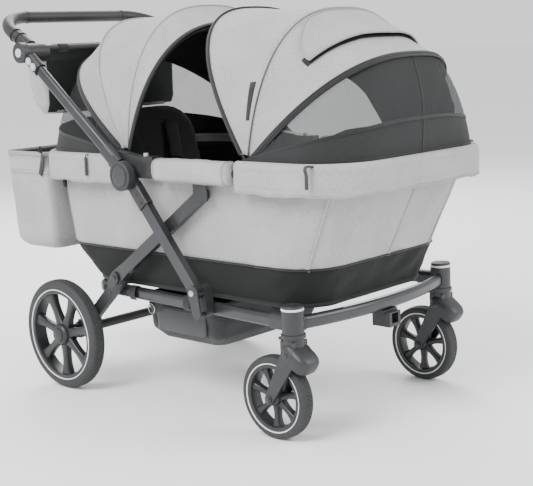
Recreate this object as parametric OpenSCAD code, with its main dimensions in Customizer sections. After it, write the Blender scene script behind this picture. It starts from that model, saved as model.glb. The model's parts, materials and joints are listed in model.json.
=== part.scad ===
// Kids pull wagon: a push-and-pull stroller wagon with a fabric tub, two facing seats,
// two folding canopies, an X-linkage folding frame, swivel casters and a tilting handlebar.
// Millimetres. +X forward, +Y left, +Z up. The origin is under the centre of the wagon's box.
// Heights are above the floor. "dx" values are measured from the middle of the wheelbase.

/* [Wheels] */
// Distance between the rear axle and the caster axes
wheelbase = 806; // [740:2:860]
// Rear tyre radius
rear_r = 146; // [130:1:160]
// Front tyre radius
front_r = 97.4; // [85:0.2:104]
// Rear tyre width
rear_tyre_w = 42; // [34:1:44]
// Front tyre width
front_tyre_w = 38; // [30:1:42]
// Half the distance between the rear tyre centres
rear_track = 302; // [298:1:312]
// Half the distance between the caster axes
caster_track = 283; // [276:1:292]
// How far the caster wheel trails behind its swivel axis
caster_trail = 57; // [44:1:66]
// Number of spokes in each wheel
spokes = 7; // [5:1:9]

/* [Lower frame] */
// Height of the lower tube loop
loop_z = 274; // [268:1:280]
// Lower tube height
loop_h = 32; // [26:1:34]
// Lower tube width
loop_w = 22; // [18:1:24]
// Half-width of the loop at its rear corners
loop_rear_y = 238; // [228:1:240]
// How far the front tube bows forward
bow_sag = 45; // [30:1:60]
// Tube wall thickness
wall = 2; // [1.5:0.1:3]
// Rear axle tube radius
axle_r = 12.5; // [10:0.5:14]
// Wheel spindle radius
spindle_r = 6; // [5:0.5:7]
// Caster stem radius
stem_r = 12; // [9:0.5:13]

/* [X linkage] */
// Front link foot ahead of the middle of the wheelbase
foot_dx = 128; // [110:1:140]
// Front link foot height
foot_z = 320; // [316:1:326]
// Rear link knee behind the middle of the wheelbase
knee_dx = 189; // [180:1:196]
// Rear link knee height
knee_z = 318; // [314:1:322]
// Rear link top ahead of the middle of the wheelbase
top_dx = 138; // [126:1:146]
// Rear link top height
top_z = 546; // [540:1:550]
// Link bar width
link_w = 30; // [26:1:32]
// Link bar thickness
link_t = 18; // [14:1:18]

/* [Handle] */
// Hub disc behind the middle of the wheelbase
hub_dx = 88; // [80:1:94]
// Hub height
hub_z = 585; // [580:1:590]
// Hub disc radius
hub_r = 36; // [32:1:38]
// Plane of the handle tubes, from the centre line
handle_y = 315; // [314:1:317]
// Length of the handle tube from hub to adjuster
handle_len = 475; // [420:1:520]
// Slope of the handle tubes above horizontal
handle_slope = 39; // [36:1:44]
// Reach of the U-shaped grip beyond the adjusters
grip_reach = 215; // [195:1:235]
// Slope of the grip above horizontal
grip_slope = 26.4; // [15:0.1:35]
// Grip radius
grip_r = 16.5; // [13:0.5:17]
// Plane of the grip's arms, from the centre line
grip_y = 276; // [270:1:284]
// Radius of the grip's two corners
grip_turn = 110; // [90:1:125]

/* [Rail and tub] */
// Rail tube height
rail_z = 600; // [596:1:604]
// Half-width of the rail at its tube centre
rail_y = 290; // [289:1:291]
// Rail tube radius
rail_r = 12; // [10:0.5:12]
// Rail front end ahead of the middle of the wheelbase
rail_front_dx = 565; // [540:1:600]
// Rail rear end behind the middle of the wheelbase
rail_rear_dx = 497; // [480:1:520]
// Corner radius of the rail
rail_corner = 135; // [110:1:150]
// Height of the tub floor
floor_z = 290.5; // [290.5:0.5:294]
// Height where the dark lower band meets the light upper wall
band_z = 385; // [360:1:410]
// Fabric thickness used for soft walls
cloth = 2.5; // [2:0.1:4]

/* [Canopies] */
// Front canopy pivot ahead of the middle of the wheelbase
front_pivot_dx = 275; // [265:1:285]
// Rear canopy pivot behind the middle of the wheelbase
rear_pivot_dx = 130; // [124:1:140]
// Height of the canopy pivots
pivot_z = 620; // [616:1:624]
// Half-width of the widest bow
bow_y = 272; // [268:1:272]
// Roundness of the bows, 2 is an ellipse and more is squarer
bow_n = 2.6; // [2.2:0.1:3.4]

/* [Bags] */
// Rear basket depth
basket_d = 155; // [110:1:160]
// Half-width of the rear basket
basket_y = 262; // [200:1:265]
// Half-width of the organiser
organiser_y = 235; // [180:1:260]
// Half-width of the bag under the floor
under_y = 200; // [150:1:210]

/* [Hidden] */
$fn = 48;

// Clearances: pieces of one body, soft pieces, running fits
snug = 0.05;
soft = 0.3;
run = 0.06;
// Overlap that fuses the straight and bent stretches of one tube
lap = 0.02;

// The handlebar or the basket reaches furthest back and the rim furthest forward
cover_out = 15;
adj_dx = -hub_dx - handle_len * cos(handle_slope);
adj_z = hub_z + handle_len * sin(handle_slope);
grip_tail = adj_dx - grip_reach * cos(grip_slope) - grip_r;
rim_nose = rail_front_dx + cover_out;
basket_tail = -rail_rear_dx - cover_out - 0.5 - basket_d;
mid_x = -(min(grip_tail, basket_tail) + rim_nose) / 2;

function at(dx) = mid_x + dx;
rear_x = at(-wheelbase / 2);
caster_x = at(wheelbase / 2);
wheel_x = caster_x - caster_trail;
foot = [at(foot_dx), foot_z];
knee = [at(-knee_dx), knee_z];
link_top = [at(top_dx), top_z];
hub = [at(-hub_dx), hub_z];
adj = [at(adj_dx), adj_z];
front_pivot = [at(front_pivot_dx), pivot_z];
rear_pivot = [at(-rear_pivot_dx), pivot_z + 2];

// Side tube line: from the rear corner to the caster axis
corner_r = 45;
loop_rear_x = at(-wheelbase / 2 + 115);
side_run = caster_x - loop_rear_x;
side_ang = atan2(caster_track - loop_rear_y, side_run);
side_len = sqrt(pow(side_run, 2) + pow(caster_track - loop_rear_y, 2));
corner_c = [loop_rear_x + corner_r * sin(side_ang), loop_rear_y - corner_r * cos(side_ang)];
function side_y(x) = loop_rear_y + (x - loop_rear_x) * tan(side_ang);
bow_R = (pow(caster_track, 2) + pow(bow_sag, 2)) / (2 * bow_sag);
bow_half = asin(caster_track / bow_R);
bow_cx = caster_x + bow_sag - bow_R;

// Caster housing
housing_r = 25;
housing_bot = 244;
housing_top = 306;

// Planes along Y, from the centre line
leg_y = [258, 273];
rear_link_y = [275, 275 + link_t];
front_link_y = [303, 303 + link_t];
hub_gap = 0.5;

// Loop tops
rail_in = rail_y - rail_r;

// Bows: [angle above +X, radius], half-widths step in by 4 mm
front_edge = [122, 412];
front_mid = [79, 343];
front_fix = [41, 349];
front_base = [6, 296];
rear_edge = [71, 335];
rear_seam = [85, 362];
rear_mid = [121.5, 396];
rear_fix = [143.5, 420];
rear_base = [175, 372];
bow_t = 3;
// How far a bow's crown lies inside the cloth, so that its edges stay clear of it
bow_inset = 4;
bow_w = 8;
bow_step = 4;
pin_r = 3;

// Tub sections: [front, rear, half-width, corner radius, height]
tub_bot = [at(405), at(-360), 233, 88, floor_z];
tub_band = [at(445), at(-455), 256, 108, band_z];
tub_top = [at(548), at(-480), 271, 128, rail_z - rail_r - 1];

slate = "#4a4d52";
black = "#1d1e1f";
light = "#c9c9c8";
dark = "#23261f";
silver = "#d8dadb";
alloy = "#8d9093";

// ---------- helpers ----------
module both() { children(); mirror([0, 1, 0]) children(); }

// A plate drawn in X-Z, from y = a to y = b
module plate(a, b) { translate([0, b, 0]) rotate([90, 0, 0]) linear_extrude(b - a) children(); }

// A cylinder along Y from y = a to y = b at p = [x, z]
module ypin(p, r, a, b) { translate([p[0], a, p[1]]) rotate([-90, 0, 0]) cylinder(r = r, h = b - a); }

// Two circles and their outer tangents
module bar2d(p, q, ra, rb) {
    d = norm(q - p);
    a = atan2(q[1] - p[1], q[0] - p[0]);
    b = acos((ra - rb) / d);
    polygon([for (s = [1, -1]) each (s > 0
        ? [p + ra * [cos(a + b), sin(a + b)], q + rb * [cos(a + b), sin(a + b)]]
        : [q + rb * [cos(a - b), sin(a - b)], p + ra * [cos(a - b), sin(a - b)]])]);
    translate(p) circle(ra);
    translate(q) circle(rb);
}

// A flat oval, w along x and h along y
module oval(w, h) {
    r = min(w, h) / 2;
    square([w > h ? w - h : w, w > h ? h : h - w], center = true);
    for (s = [-1, 1]) translate(w > h ? [s * (w / 2 - r), 0] : [0, s * (h / 2 - r)]) circle(r);
}
module oval_tube(w, h, t) { difference() { oval(w, h); oval(w - 2 * t, h - 2 * t); } }

// A square with rounded corners
module rounded(w, h, r) {
    square([w - 2 * r, h], center = true);
    square([w, h - 2 * r], center = true);
    for (x = [-1, 1], y = [-1, 1]) translate([x * (w / 2 - r), y * (h / 2 - r)]) circle(r);
}

// Local z runs from p towards angle a in X-Z; local x lies across it; y is the plane
module along(p, a, y) { translate([p[0], y, p[1]]) rotate([0, 90 - a, 0]) children(); }

function polar(p, a, d) = p + d * [cos(a), sin(a)];

// Arch outline in [distance from the pivot axis, y], a superellipse
function arch(R, W, n = bow_n, steps = 28) = [for (i = [0 : steps])
    let (t = 1.5 + 177 * i / steps)
    [R * pow(sin(t), 2 / n), -W * sign(cos(t)) * pow(abs(cos(t)), 2 / n)]];
module arch_band(R, W, t) {
    polygon(concat(arch(R, W), [for (i = [28 : -1 : 0]) arch(R - t, W - t)[i]]));
}
// The arch's plane turned up by angle a about the pivot axis
module turned(p, a) { translate([p[0], 0, p[1]]) rotate([0, -a, 0]) children(); }
module bow_at(p, b, W, eye = true) {
    turned(p, b[0]) {
        translate([0, 0, -bow_w / 2]) linear_extrude(bow_w) arch_band(b[1] - bow_inset, W, bow_t);
        for (s = [-1, 1]) translate([0, s > 0 ? W - bow_t : -W, 0]) {
            difference() {
                union() {
                    rotate([-90, 0, 0]) cylinder(r = 9, h = bow_t);
                    translate([0, 0, -bow_w / 2]) cube([34, bow_t, bow_w]);
                }
                if (eye) translate([0, -1, 0]) rotate([-90, 0, 0]) cylinder(r = pin_r + run, h = bow_t + 2);
            }
        }
    }
}
// A stretched skin over a set of bows, open at both ends
module skin(p, bows, W) {
    last = len(bows) - 1;
    past = 1; // how far the hollow runs past each end, along the plane's normal
    difference() {
        hull() for (b = bows) turned(p, b[0]) linear_extrude(0.1) polygon(arch(b[1] + cloth, W + cloth));
        hull() for (i = [0 : last]) turned(p, bows[i][0])
            translate([0, 0, i == 0 ? -past : i == last ? past : 0]) linear_extrude(0.1)
                polygon(arch(bows[i][1] + (i == 0 || i == last ? 1.1 : 0.4), W));
    }
}

// A closed rounded slab of the tub at one height
module slab(s, grow, h) {
    translate([(s[0] + s[1]) / 2, 0, s[4]]) linear_extrude(h)
        rounded(s[0] - s[1] - 2 * grow, 2 * (s[2] - grow), s[3] - grow, $fn = 32);
}

// A U-shaped path round one end of the rail, carrying a 2D profile (x outward, y up)
module rail_u(x_end, x_nose, over = 0) {
    dir = sign(x_nose - x_end);
    turn_x = x_nose - dir * rail_corner;
    half = rail_y - rail_corner;
    both() {
        translate([min(x_end, turn_x) - over, rail_y, rail_z]) rotate([90, 0, 90])
            linear_extrude(abs(turn_x - x_end) + 2 * over) children();
        translate([turn_x, half, rail_z]) rotate([0, 0, dir > 0 ? 0 : 90])
            rotate_extrude(angle = 90) translate([rail_corner, 0]) children();
    }
    translate([x_nose, half, rail_z]) mirror([dir > 0 ? 0 : 1, 0, 0]) rotate([90, 0, 0])
        linear_extrude(2 * half) children();
}

// ---------- lower frame ----------
module loop_profile() { oval_tube(loop_w, loop_h, wall); }
module side_tubes() {
    color(slate) both() {
        translate([loop_rear_x, loop_rear_y, loop_z]) rotate([0, 0, side_ang]) rotate([90, 0, 90])
            linear_extrude(side_len - housing_r - 6) loop_profile();
        translate([corner_c[0], corner_c[1], loop_z]) rotate([0, 0, 90 + side_ang])
            rotate_extrude(angle = 90 - side_ang) translate([corner_r, 0]) loop_profile();
    }
}
module rear_tube() {
    color(slate) translate([corner_c[0] - corner_r, corner_c[1] - 0.02, loop_z])
        rotate([90, 0, 0]) linear_extrude(2 * corner_c[1] - 0.04) loop_profile();
}
module front_tube() {
    trim = asin((housing_r + 5) / bow_R);
    color(slate) translate([bow_cx, 0, loop_z]) rotate([0, 0, trim - bow_half])
        rotate_extrude(angle = 2 * (bow_half - trim), $fn = 720)
            translate([bow_R, 0]) loop_profile($fn = 48);
}
module reflective_strip() {
    strip_half = asin(150 / bow_R);
    color("white") translate([bow_cx, 0, loop_z + loop_h / 2 + snug]) rotate([0, 0, -strip_half])
        rotate_extrude(angle = 2 * strip_half, $fn = 720) translate([bow_R - 3, 0]) square([7, 1]);
}
tow_l = 52;
tow_w = 42;
tow_h = 40;
tow_hole = 24;
tow_x = caster_x + bow_sag - 4;
module tow_socket() {
    top = loop_z - loop_h / 2 - snug;
    color(black) difference() {
        union() {
            translate([tow_x - tow_l / 2, -tow_w / 2, top - tow_h]) cube([tow_l, tow_w, tow_h - 5]);
            translate([tow_x - 12, -tow_w / 2 - 6, top - 5]) cube([24, tow_w + 12, 5]);
            translate([tow_x - 12, -tow_w / 2 - 6, top - 10]) cube([24, tow_w + 12, 6]);
        }
        translate([tow_x - tow_l / 2 + 8, -tow_hole / 2, top - 8 - tow_hole]) cube([tow_l, tow_hole, tow_hole]);
    }
}
// Casting round each caster stem, with a sleeve for each tube
module housing() {
    difference() {
        union() {
            translate([0, 0, housing_bot]) cylinder(r = housing_r, h = housing_top - housing_bot);
            translate([0, 0, housing_bot]) cylinder(r = housing_r + 3, h = 8);
            translate([0, 0, loop_z]) rotate([0, 0, 180 + side_ang]) rotate([90, 0, 90])
                linear_extrude(64) oval(loop_w + 6, loop_h + 6);
            translate([0, 0, loop_z]) rotate([0, 0, -90 + bow_half]) rotate([90, 0, 90])
                linear_extrude(housing_r + 4.5) oval(loop_w + 4, loop_h + 4);
        }
        translate([0, 0, loop_z]) rotate([0, 0, 180 + side_ang]) rotate([90, 0, 90])
            translate([0, 0, housing_r + 5.5]) linear_extrude(60) oval(loop_w + 2 * snug, loop_h + 2 * snug);
        translate([0, 0, housing_bot - 1]) cylinder(r = stem_r + run, h = 51);
        translate([-housing_r - 6, 0, 297]) rotate([0, 90, 0]) cylinder(r = 6.3, h = 13);
    }
}
module caster_housings() { color(slate) both() translate([caster_x, caster_track, 0]) housing(); }
module housing_rings() {
    color("white") both() translate([caster_x, caster_track, housing_top]) difference() {
        cylinder(r = housing_r + 0.5, h = 5);
        translate([0, 0, -1]) cylinder(r = housing_r - 4, h = 7);
    }
    color(black) both() translate([caster_x, caster_track, housing_top]) {
        cylinder(r = housing_r - 4.05, h = 5);
        translate([0, 0, 5.05]) cylinder(r = housing_r - 2, h = 4);
    }
}
module caster_buttons() {
    color(silver) both() translate([caster_x - housing_r - 4, caster_track, 297])
        rotate([0, 90, 0]) cylinder(r = 6, h = 7);
}
axle_y = 262;
module rear_axle() {
    color(black) {
        ypin([rear_x, rear_r], axle_r, -axle_y, axle_y);
        both() ypin([rear_x, rear_r], spindle_r, axle_y - 1, rear_track + rear_tyre_w / 2 + 4);
    }
}
leg_foot = [rear_x + 64, rear_r + 36];
module axle_brackets() {
    color(black) both() difference() {
        union() {
            plate(leg_y[0] - 18, leg_y[0] - snug) bar2d([rear_x, rear_r], leg_foot, 22, 15);
            ypin([rear_x, rear_r], 19, 224, leg_y[0] + 10);
        }
        ypin([rear_x, rear_r], axle_r + snug, 200, axle_y + snug);
        ypin([rear_x, rear_r], spindle_r + snug, axle_y - 1, 300);
    }
}
module rear_legs() {
    color(slate) both() {
        plate(leg_y[0], leg_y[1]) bar2d(knee, leg_foot, 17, 15);
        ypin(knee, 5, leg_y[1] - 1, rear_link_y[1] + 2);
        plate(rear_link_y[1] + 1, rear_link_y[1] + 5) bar2d(knee, knee + [-16, -18], 15, 12);
        boss_x = knee[0] - 42;
        ypin([boss_x, loop_z + 4], 8, side_y(boss_x) + loop_w / 2 + 0.75, leg_y[0] + 1);
    }
}
module link_feet() {
    low = foot + [10, foot_z > 0 ? loop_z - foot_z - 2 : 0];
    inner = side_y(foot[0] + 22) + loop_w / 2 + snug;
    color(slate) both() {
        plate(inner, front_link_y[0] - hub_gap) bar2d(foot, low, 16, 13);
        ypin(foot, 6, inner, front_link_y[1] + 3);
        plate(front_link_y[1] + hub_gap, front_link_y[1] + 5) bar2d(foot, low, 17, 14);
        plate(front_link_y[0] - 1, front_link_y[1] + 1) translate(low + [2, -6]) circle(6);
    }
}
module frame_screws() {
    color(alloy) both() {
        for (k = [0.35, 0.75]) {
            p = knee + k * (leg_foot - knee);
            ypin(p, 4.5, leg_y[1] + 0.02, leg_y[1] + 1.8);
        }
        ypin(foot, 7, front_link_y[1] + 5.02, front_link_y[1] + 7);
        ypin(knee, 6.5, rear_link_y[1] + 5.02, rear_link_y[1] + 7.5);
    }
}
module floor_board() {
    s = tub_bot;
    color(black) translate([(s[0] + s[1]) / 2, 0, floor_z + cloth + snug]) linear_extrude(9)
        rounded(s[0] - s[1] - 14, 2 * s[2] - 14, s[3] - 7);
}
module tub_lower() {
    color(dark) difference() {
        hull() { slab(tub_bot, 0, 0.5); slab(tub_band, 0, 0.5); }
        hull() {
            translate([0, 0, cloth]) slab(tub_bot, cloth, 0.5);
            translate([0, 0, 3]) slab(tub_band, cloth, 0.5);
        }
    }
}
seat_top = floor_z + 118;
seat_bot = floor_z + cloth + 9 + 2 * snug;
seat_rear = [at(-338), at(-106)];
seat_front = [at(136), at(368)];
seat_half = 205;
module seat_cushions() {
    color(black) for (s = [seat_rear, seat_front])
        translate([(s[0] + s[1]) / 2, 0, seat_bot]) linear_extrude(seat_top - seat_bot)
            rounded(s[1] - s[0], 2 * seat_half, 24);
}
back_t = 30;
back_len = 318;
back_lean = 14;
// Seat back as a rounded board leaning away from the seat by back_lean
module seat_back(pivot, lean, len) {
    color(black) along(pivot, lean, 0) {
        intersection() {
            translate([-back_t / 2, -seat_half + 6, 0]) cube([back_t, 2 * (seat_half - 6), len]);
            rotate([0, 90, 0]) translate([0, 0, -back_t]) linear_extrude(2 * back_t) union() {
                translate([-len / 2 + 40, 0]) square([len - 80 + 80, 2 * seat_half], center = true);
                translate([-len + 90, 0]) circle(90, $fn = 96);
            }
        }
        rotate([90, 0, 0]) translate([0, 0, -seat_half + 6]) cylinder(r = back_t / 2, h = 2 * (seat_half - 6));
    }
}
rear_back_pivot = [seat_rear[0] + back_t / 2 + 2, seat_top + back_t / 2 + soft];
front_back_pivot = [seat_front[1] - back_t / 2 - 2, seat_top + back_t / 2 + soft];
module seat_back_rear() { seat_back(rear_back_pivot, 90 + back_lean, back_len); }
module seat_back_front() { seat_back(front_back_pivot, 90 - back_lean, back_len - 38); }
under_x = [at(-200), at(80)];
under_z = [144, loop_z - loop_h / 2 - soft];
module under_bag() {
    color(black) difference() {
        union() {
            translate([under_x[0], -under_y, under_z[0]])
                cube([under_x[1] - under_x[0], 2 * under_y, under_z[1] - under_z[0]]);
            // Straps up to the side tubes
            both() for (x = [under_x[0] + 26, under_x[1] - 40])
                translate([x, under_y - 4, under_z[1] - 3]) cube([20, side_y(x) - under_y + 8, 3]);
        }
        translate([under_x[0] + 4, -under_y + 4, under_z[0] + 4])
            cube([under_x[1] - under_x[0] - 8, 2 * under_y - 8, 200]);
    }
}

// ---------- X linkage ----------
module front_links() {
    a = atan2(hub[1] - foot[1], hub[0] - foot[0]);
    reach = norm(hub - foot);
    color(slate) both() difference() {
        union() {
            translate([foot[0], front_link_y[0], foot[1]]) rotate([0, -a, 0])
                translate([0, 0, -link_w / 2]) cube([reach, link_t, link_w]);
            ypin(foot, link_w / 2 + 1, front_link_y[0], front_link_y[1]);
            ypin(hub, 20, front_link_y[0], front_link_y[1]);
            // Collar below the hub
            translate([foot[0], front_link_y[0] + 1, foot[1]]) rotate([0, -a, 0])
                translate([reach - 76, 0, -link_w / 2 - 3]) cube([44, link_t - 2, link_w + 6]);
        }
        ypin(foot, spindle_r + run, 280, 340);
    }
}
module rear_links() {
    color(slate) both() difference() {
        plate(rear_link_y[0], rear_link_y[1]) {
            bar2d(knee, link_top, link_w / 2, link_w / 2);
            bar2d(knee, polar(knee, 35, 40), 18, 16);
        }
        ypin(knee, 5 + run, 260, 320);
    }
}

// ---------- rail, tub and covers ----------
block_x = [at(-70), at(-8)];
block_y = [rail_y - 16, front_link_y[0] - hub_gap];
block_z = [rail_z - 22, rail_z + 30];
module rail_profile() { difference() { circle(rail_r); circle(rail_r - 1.8); } }
module front_rail() { color(slate) rail_u(block_x[0] + 36, at(rail_front_dx), lap) rail_profile(); }
module rear_rail() { color(slate) rail_u(block_x[0] + 24, at(-rail_rear_dx), lap) rail_profile(); }
module cover_profile() {
    inner = -rail_r - 2;
    outer = rail_r + 0.5 + cloth;
    top = 31;
    polygon([[outer - cloth, -46], [outer, -46], [outer, top], [inner, top], [inner, top - 15],
        [inner + 1.5, top - 15], [inner + 1.5, top - cloth], [outer - cloth, top - cloth]]);
}
cover_split = at(262);
module rim_cover_front() { color(light) rail_u(cover_split, at(rail_front_dx)) cover_profile(); }
module rim_cover_rear() { color(light) rail_u(at(-166), at(-rail_rear_dx)) cover_profile(); }
module rail_pads() {
    color(light) both() difference() {
        translate([block_x[1] + 12, rail_y, rail_z]) rotate([90, 0, 90])
            linear_extrude(cover_split - 6 - block_x[1] - 12) translate([11.5, 3]) rounded(50, 56, 12);
        translate([0, rail_y, rail_z]) rotate([0, 90, 0]) cylinder(r = rail_r + soft, h = 1000);
        translate([0, rear_link_y[1] + 1, rail_z - 80]) cube([1000, 3.1, 80 - rail_r + 1.5]);
    }
}
module tub_upper() {
    color(light) difference() {
        hull() { translate([0, 0, 1]) slab(tub_band, 0, 0.5); slab(tub_top, 0, 0.5); }
        hull() {
            translate([0, 0, -3]) slab(tub_band, cloth, 0.5);
            translate([0, 0, 4]) slab(tub_top, cloth, 0.5);
        }
    }
}
module link_guides() {
    far = link_top[0] + 46;
    color(slate) both() translate([link_top[0] - 18, rear_link_y[1] + 1.3, rail_z - 66])
        cube([far - link_top[0], 2.5, 66 - rail_r + 0.5]);
}

// ---------- hubs and handle ----------
disc_y = [front_link_y[1] + hub_gap, front_link_y[1] + 19];
tube_w = 30;
tube_t = 18;
sleeve_in = 38;
tube_end = handle_len - 27;
module hub_joints() {
    color(black) both() difference() {
        union() {
            ypin(hub, hub_r, disc_y[0], disc_y[1]);
            along(hub, handle_back, handle_y) translate([0, 0, sleeve_in])
                linear_extrude(58) oval(tube_w + 8, tube_t + 9);
            along(hub, handle_back, disc_y[0] + 3) translate([0, 0, 0])
                linear_extrude(sleeve_in + 20) square([30, 6], center = true);
            translate([block_x[0], block_y[0], block_z[0]])
                cube([block_x[1] - block_x[0], block_y[1] - block_y[0], block_z[1] - block_z[0]]);
            // Web from the block up to the handle sleeve
            plate(block_y[0] + 5, block_y[1]) bar2d([block_x[0] + 14, block_z[1] - 14],
                polar(hub, handle_back, 68), 13, 13);
        }
        along(hub, handle_back, handle_y) translate([0, 0, sleeve_in + 4])
            linear_extrude(100) oval(tube_w + 2 * snug, tube_t + 2 * snug);
        translate([block_x[0] - 160, rail_y, rail_z]) rotate([0, 90, 0]) cylinder(r = rail_r + snug, h = 400);
        translate([block_x[0] + 24, rail_y - 2, block_z[1] - 14]) cylinder(r = 6.3, h = 20);
    }
}
handle_back = 180 - handle_slope;
module fold_buttons() {
    color(silver) both() translate([block_x[0] + 24, rail_y - 2, block_z[1] - 8]) cylinder(r = 6, h = 15);
}
module handle_tubes() {
    color(slate) both() along(hub, handle_back, handle_y) translate([0, 0, sleeve_in + 4.1])
        linear_extrude(tube_end - sleeve_in - 4.1) oval_tube(tube_w, tube_t, wall);
}
adj_r = 26;
knuckle_y = [handle_y - 19, handle_y + 3];
adj_y = [knuckle_y[1] + 0.5, handle_y + 22];
grip_in = grip_y - 14;
module adjusters() {
    color(black) both() difference() {
        union() {
            ypin(adj, adj_r, adj_y[0], adj_y[1]);
            ypin(adj, 6, grip_in + 0.8, adj_y[0] + 1);
            along(hub, handle_back, handle_y) translate([0, 0, tube_end - 44])
                linear_extrude(46) oval(tube_w + 7, tube_t + 8);
            along(hub, handle_back, adj_y[0] + 4.5) translate([0, 0, tube_end - 20])
                linear_extrude(42) square([26, 7], center = true);
        }
        along(hub, handle_back, handle_y) translate([0, 0, tube_end - 60])
            linear_extrude(60.1) oval(tube_w + 2 * snug, tube_t + 2 * snug);
        ypin(adj, 11.3, adj_y[1] - 9, adj_y[1] + 5);
    }
}
module adjuster_button() { ypin(adj, 11, adj_y[1] - 4.5, adj_y[1] + 3); }
module adjuster_button_left() { color(silver) adjuster_button(); }
module adjuster_button_right() { color(silver) mirror([0, 1, 0]) adjuster_button(); }
crossbar_at = adj + [-12, 10];
module crossbar() {
    color(black) {
        ypin(crossbar_at, 8, -grip_in + 4, grip_in - 4);
        both() ypin(adj, 20, grip_in - 9, grip_in);
    }
}
module grip_bar() {
    turn_r = grip_turn;
    arm_y = grip_y;
    up = 180 - grip_slope;
    neck = adj_r + 8;
    neck_r = 13;
    seam_r = grip_r + 1;
    color(black) {
        both() {
            difference() {
                ypin(adj, adj_r - 3, grip_in + 0.5, knuckle_y[1]);
                ypin(adj, 6 + run, 200, 400);
            }
            along(adj, up, arm_y) translate([0, 0, 12]) cylinder(r = neck_r, h = neck - 10);
            along(adj, up, arm_y) translate([0, 0, neck]) cylinder(r = grip_r, h = grip_reach - turn_r - neck);
            along(adj, up, arm_y) translate([0, 0, grip_reach - turn_r - 4]) cylinder(r = seam_r, h = 8);
            along(adj, up, arm_y - turn_r) translate([0, 0, grip_reach - turn_r])
                rotate([90, 0, 90]) rotate_extrude(angle = 90) translate([turn_r, 0]) circle(grip_r);
            along(adj, up, arm_y - turn_r) translate([0, 0, grip_reach]) rotate([90, 0, 0])
                translate([0, 0, -4]) cylinder(r = seam_r, h = 8);
        }
        along(adj, up, arm_y - turn_r) translate([0, 0, grip_reach]) rotate([90, 0, 0])
            cylinder(r = grip_r, h = 2 * (arm_y - turn_r));
    }
}

// ---------- bags ----------
organiser_x = [adj[0] - 130, adj[0] - 44];
organiser_z = [adj[1] - 168, adj[1] - 20];
module organiser() {
    color(light) difference() {
        union() {
            translate([organiser_x[0], -organiser_y, organiser_z[0]])
                cube([organiser_x[1] - organiser_x[0], 2 * organiser_y, organiser_z[1] - organiser_z[0]]);
            // Hanging loops round the crossbar
            both() {
                translate([organiser_x[1] - 3, organiser_y - 70, organiser_z[1] - 3])
                    cube([3, 46, crossbar_at[1] - 9 - organiser_z[1]]);
                ypin(crossbar_at, 11, organiser_y - 70, organiser_y - 24);
                translate([organiser_x[1] - 3, organiser_y - 70, crossbar_at[1] - 14])
                    cube([crossbar_at[0] - organiser_x[1] + 3, 46, 4]);
            }
        }
        ypin(crossbar_at, 8 + soft, -organiser_y, organiser_y);
        for (s = [-1, 1]) translate([organiser_x[0] + 4, s > 0 ? 3 : -organiser_y + 4, organiser_z[0] + 4])
            cube([organiser_x[1] - organiser_x[0] - 8, organiser_y - 7, 300]);
    }
}
basket_front_x = at(-rail_rear_dx) - cover_out - 0.5;
module rear_basket() {
    outline = [[basket_front_x, rail_z + 18], [basket_front_x - basket_d, rail_z + 12],
        [basket_front_x - basket_d + 10, rail_z - 246], [basket_front_x + 30, rail_z - 232],
        [basket_front_x, rail_z - 90]];
    inner = [[basket_front_x - 4, rail_z + 60], [basket_front_x - basket_d + 4, rail_z + 60],
        [basket_front_x - basket_d + 14, rail_z - 242], [basket_front_x + 24, rail_z - 228],
        [basket_front_x - 4, rail_z - 90]];
    color(light) difference() {
        plate(-basket_y, basket_y) polygon(outline);
        plate(-basket_y + 4, basket_y - 4) polygon(inner);
    }
}

// ---------- canopies ----------
mesh_w = bow_y - 2 * bow_step - bow_t - cloth - 1.2;
module front_mesh() { color(black) skin(front_pivot, [front_base, front_fix - [1.2, 3]], mesh_w); }
module rear_mesh() { color(black) skin(rear_pivot, [rear_fix + [1.2, -3], rear_base], mesh_w); }
module fixed_bows() {
    w = bow_y - 2 * bow_step;
    color(black) {
        bow_at(front_pivot, front_fix, w, false);
        bow_at(rear_pivot, rear_fix, w, false);
        // Hangers beside the rail; the front one leaves room for the cover's inner fall
        both() for (h = [[front_pivot, 3.4], [rear_pivot, rail_in - bow_y - 2 * soft]]) {
            p = h[0];
            ypin(p, pin_r, w - 1, rail_in - 3);
            translate([p[0] - 11, bow_y + soft, rail_z - 6]) cube([22, h[1], p[1] - rail_z + 14]);
        }
    }
}
module front_bow_mid() { color(black) bow_at(front_pivot, front_mid, bow_y - bow_step); }
module front_bow_edge() { color(black) bow_at(front_pivot, front_edge, bow_y); }
module rear_bow_mid() { color(black) bow_at(rear_pivot, rear_mid, bow_y - bow_step); }
module rear_bow_edge() { color(black) bow_at(rear_pivot, rear_edge, bow_y); }
skin_low = bow_y - bow_step + soft;
skin_high = bow_y + soft;
module front_panel_low() { color(light) skin(front_pivot, [front_fix + [0, 0.5], front_mid - [1, -0.5]], skin_low); }
module front_panel_high() { color(light) skin(front_pivot, [front_mid + [1, 0.5], front_edge + [0, 0.5]], skin_high); }
module rear_panel_low() { color(light) skin(rear_pivot, [rear_mid + [1, 0.5], rear_fix + [0, 0.5]], skin_low); }
module rear_panel_high() {
    color(light) skin(rear_pivot, [rear_edge + [0, 0.5], rear_seam, rear_mid + [-1, 0.5]], skin_high);
}

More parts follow.
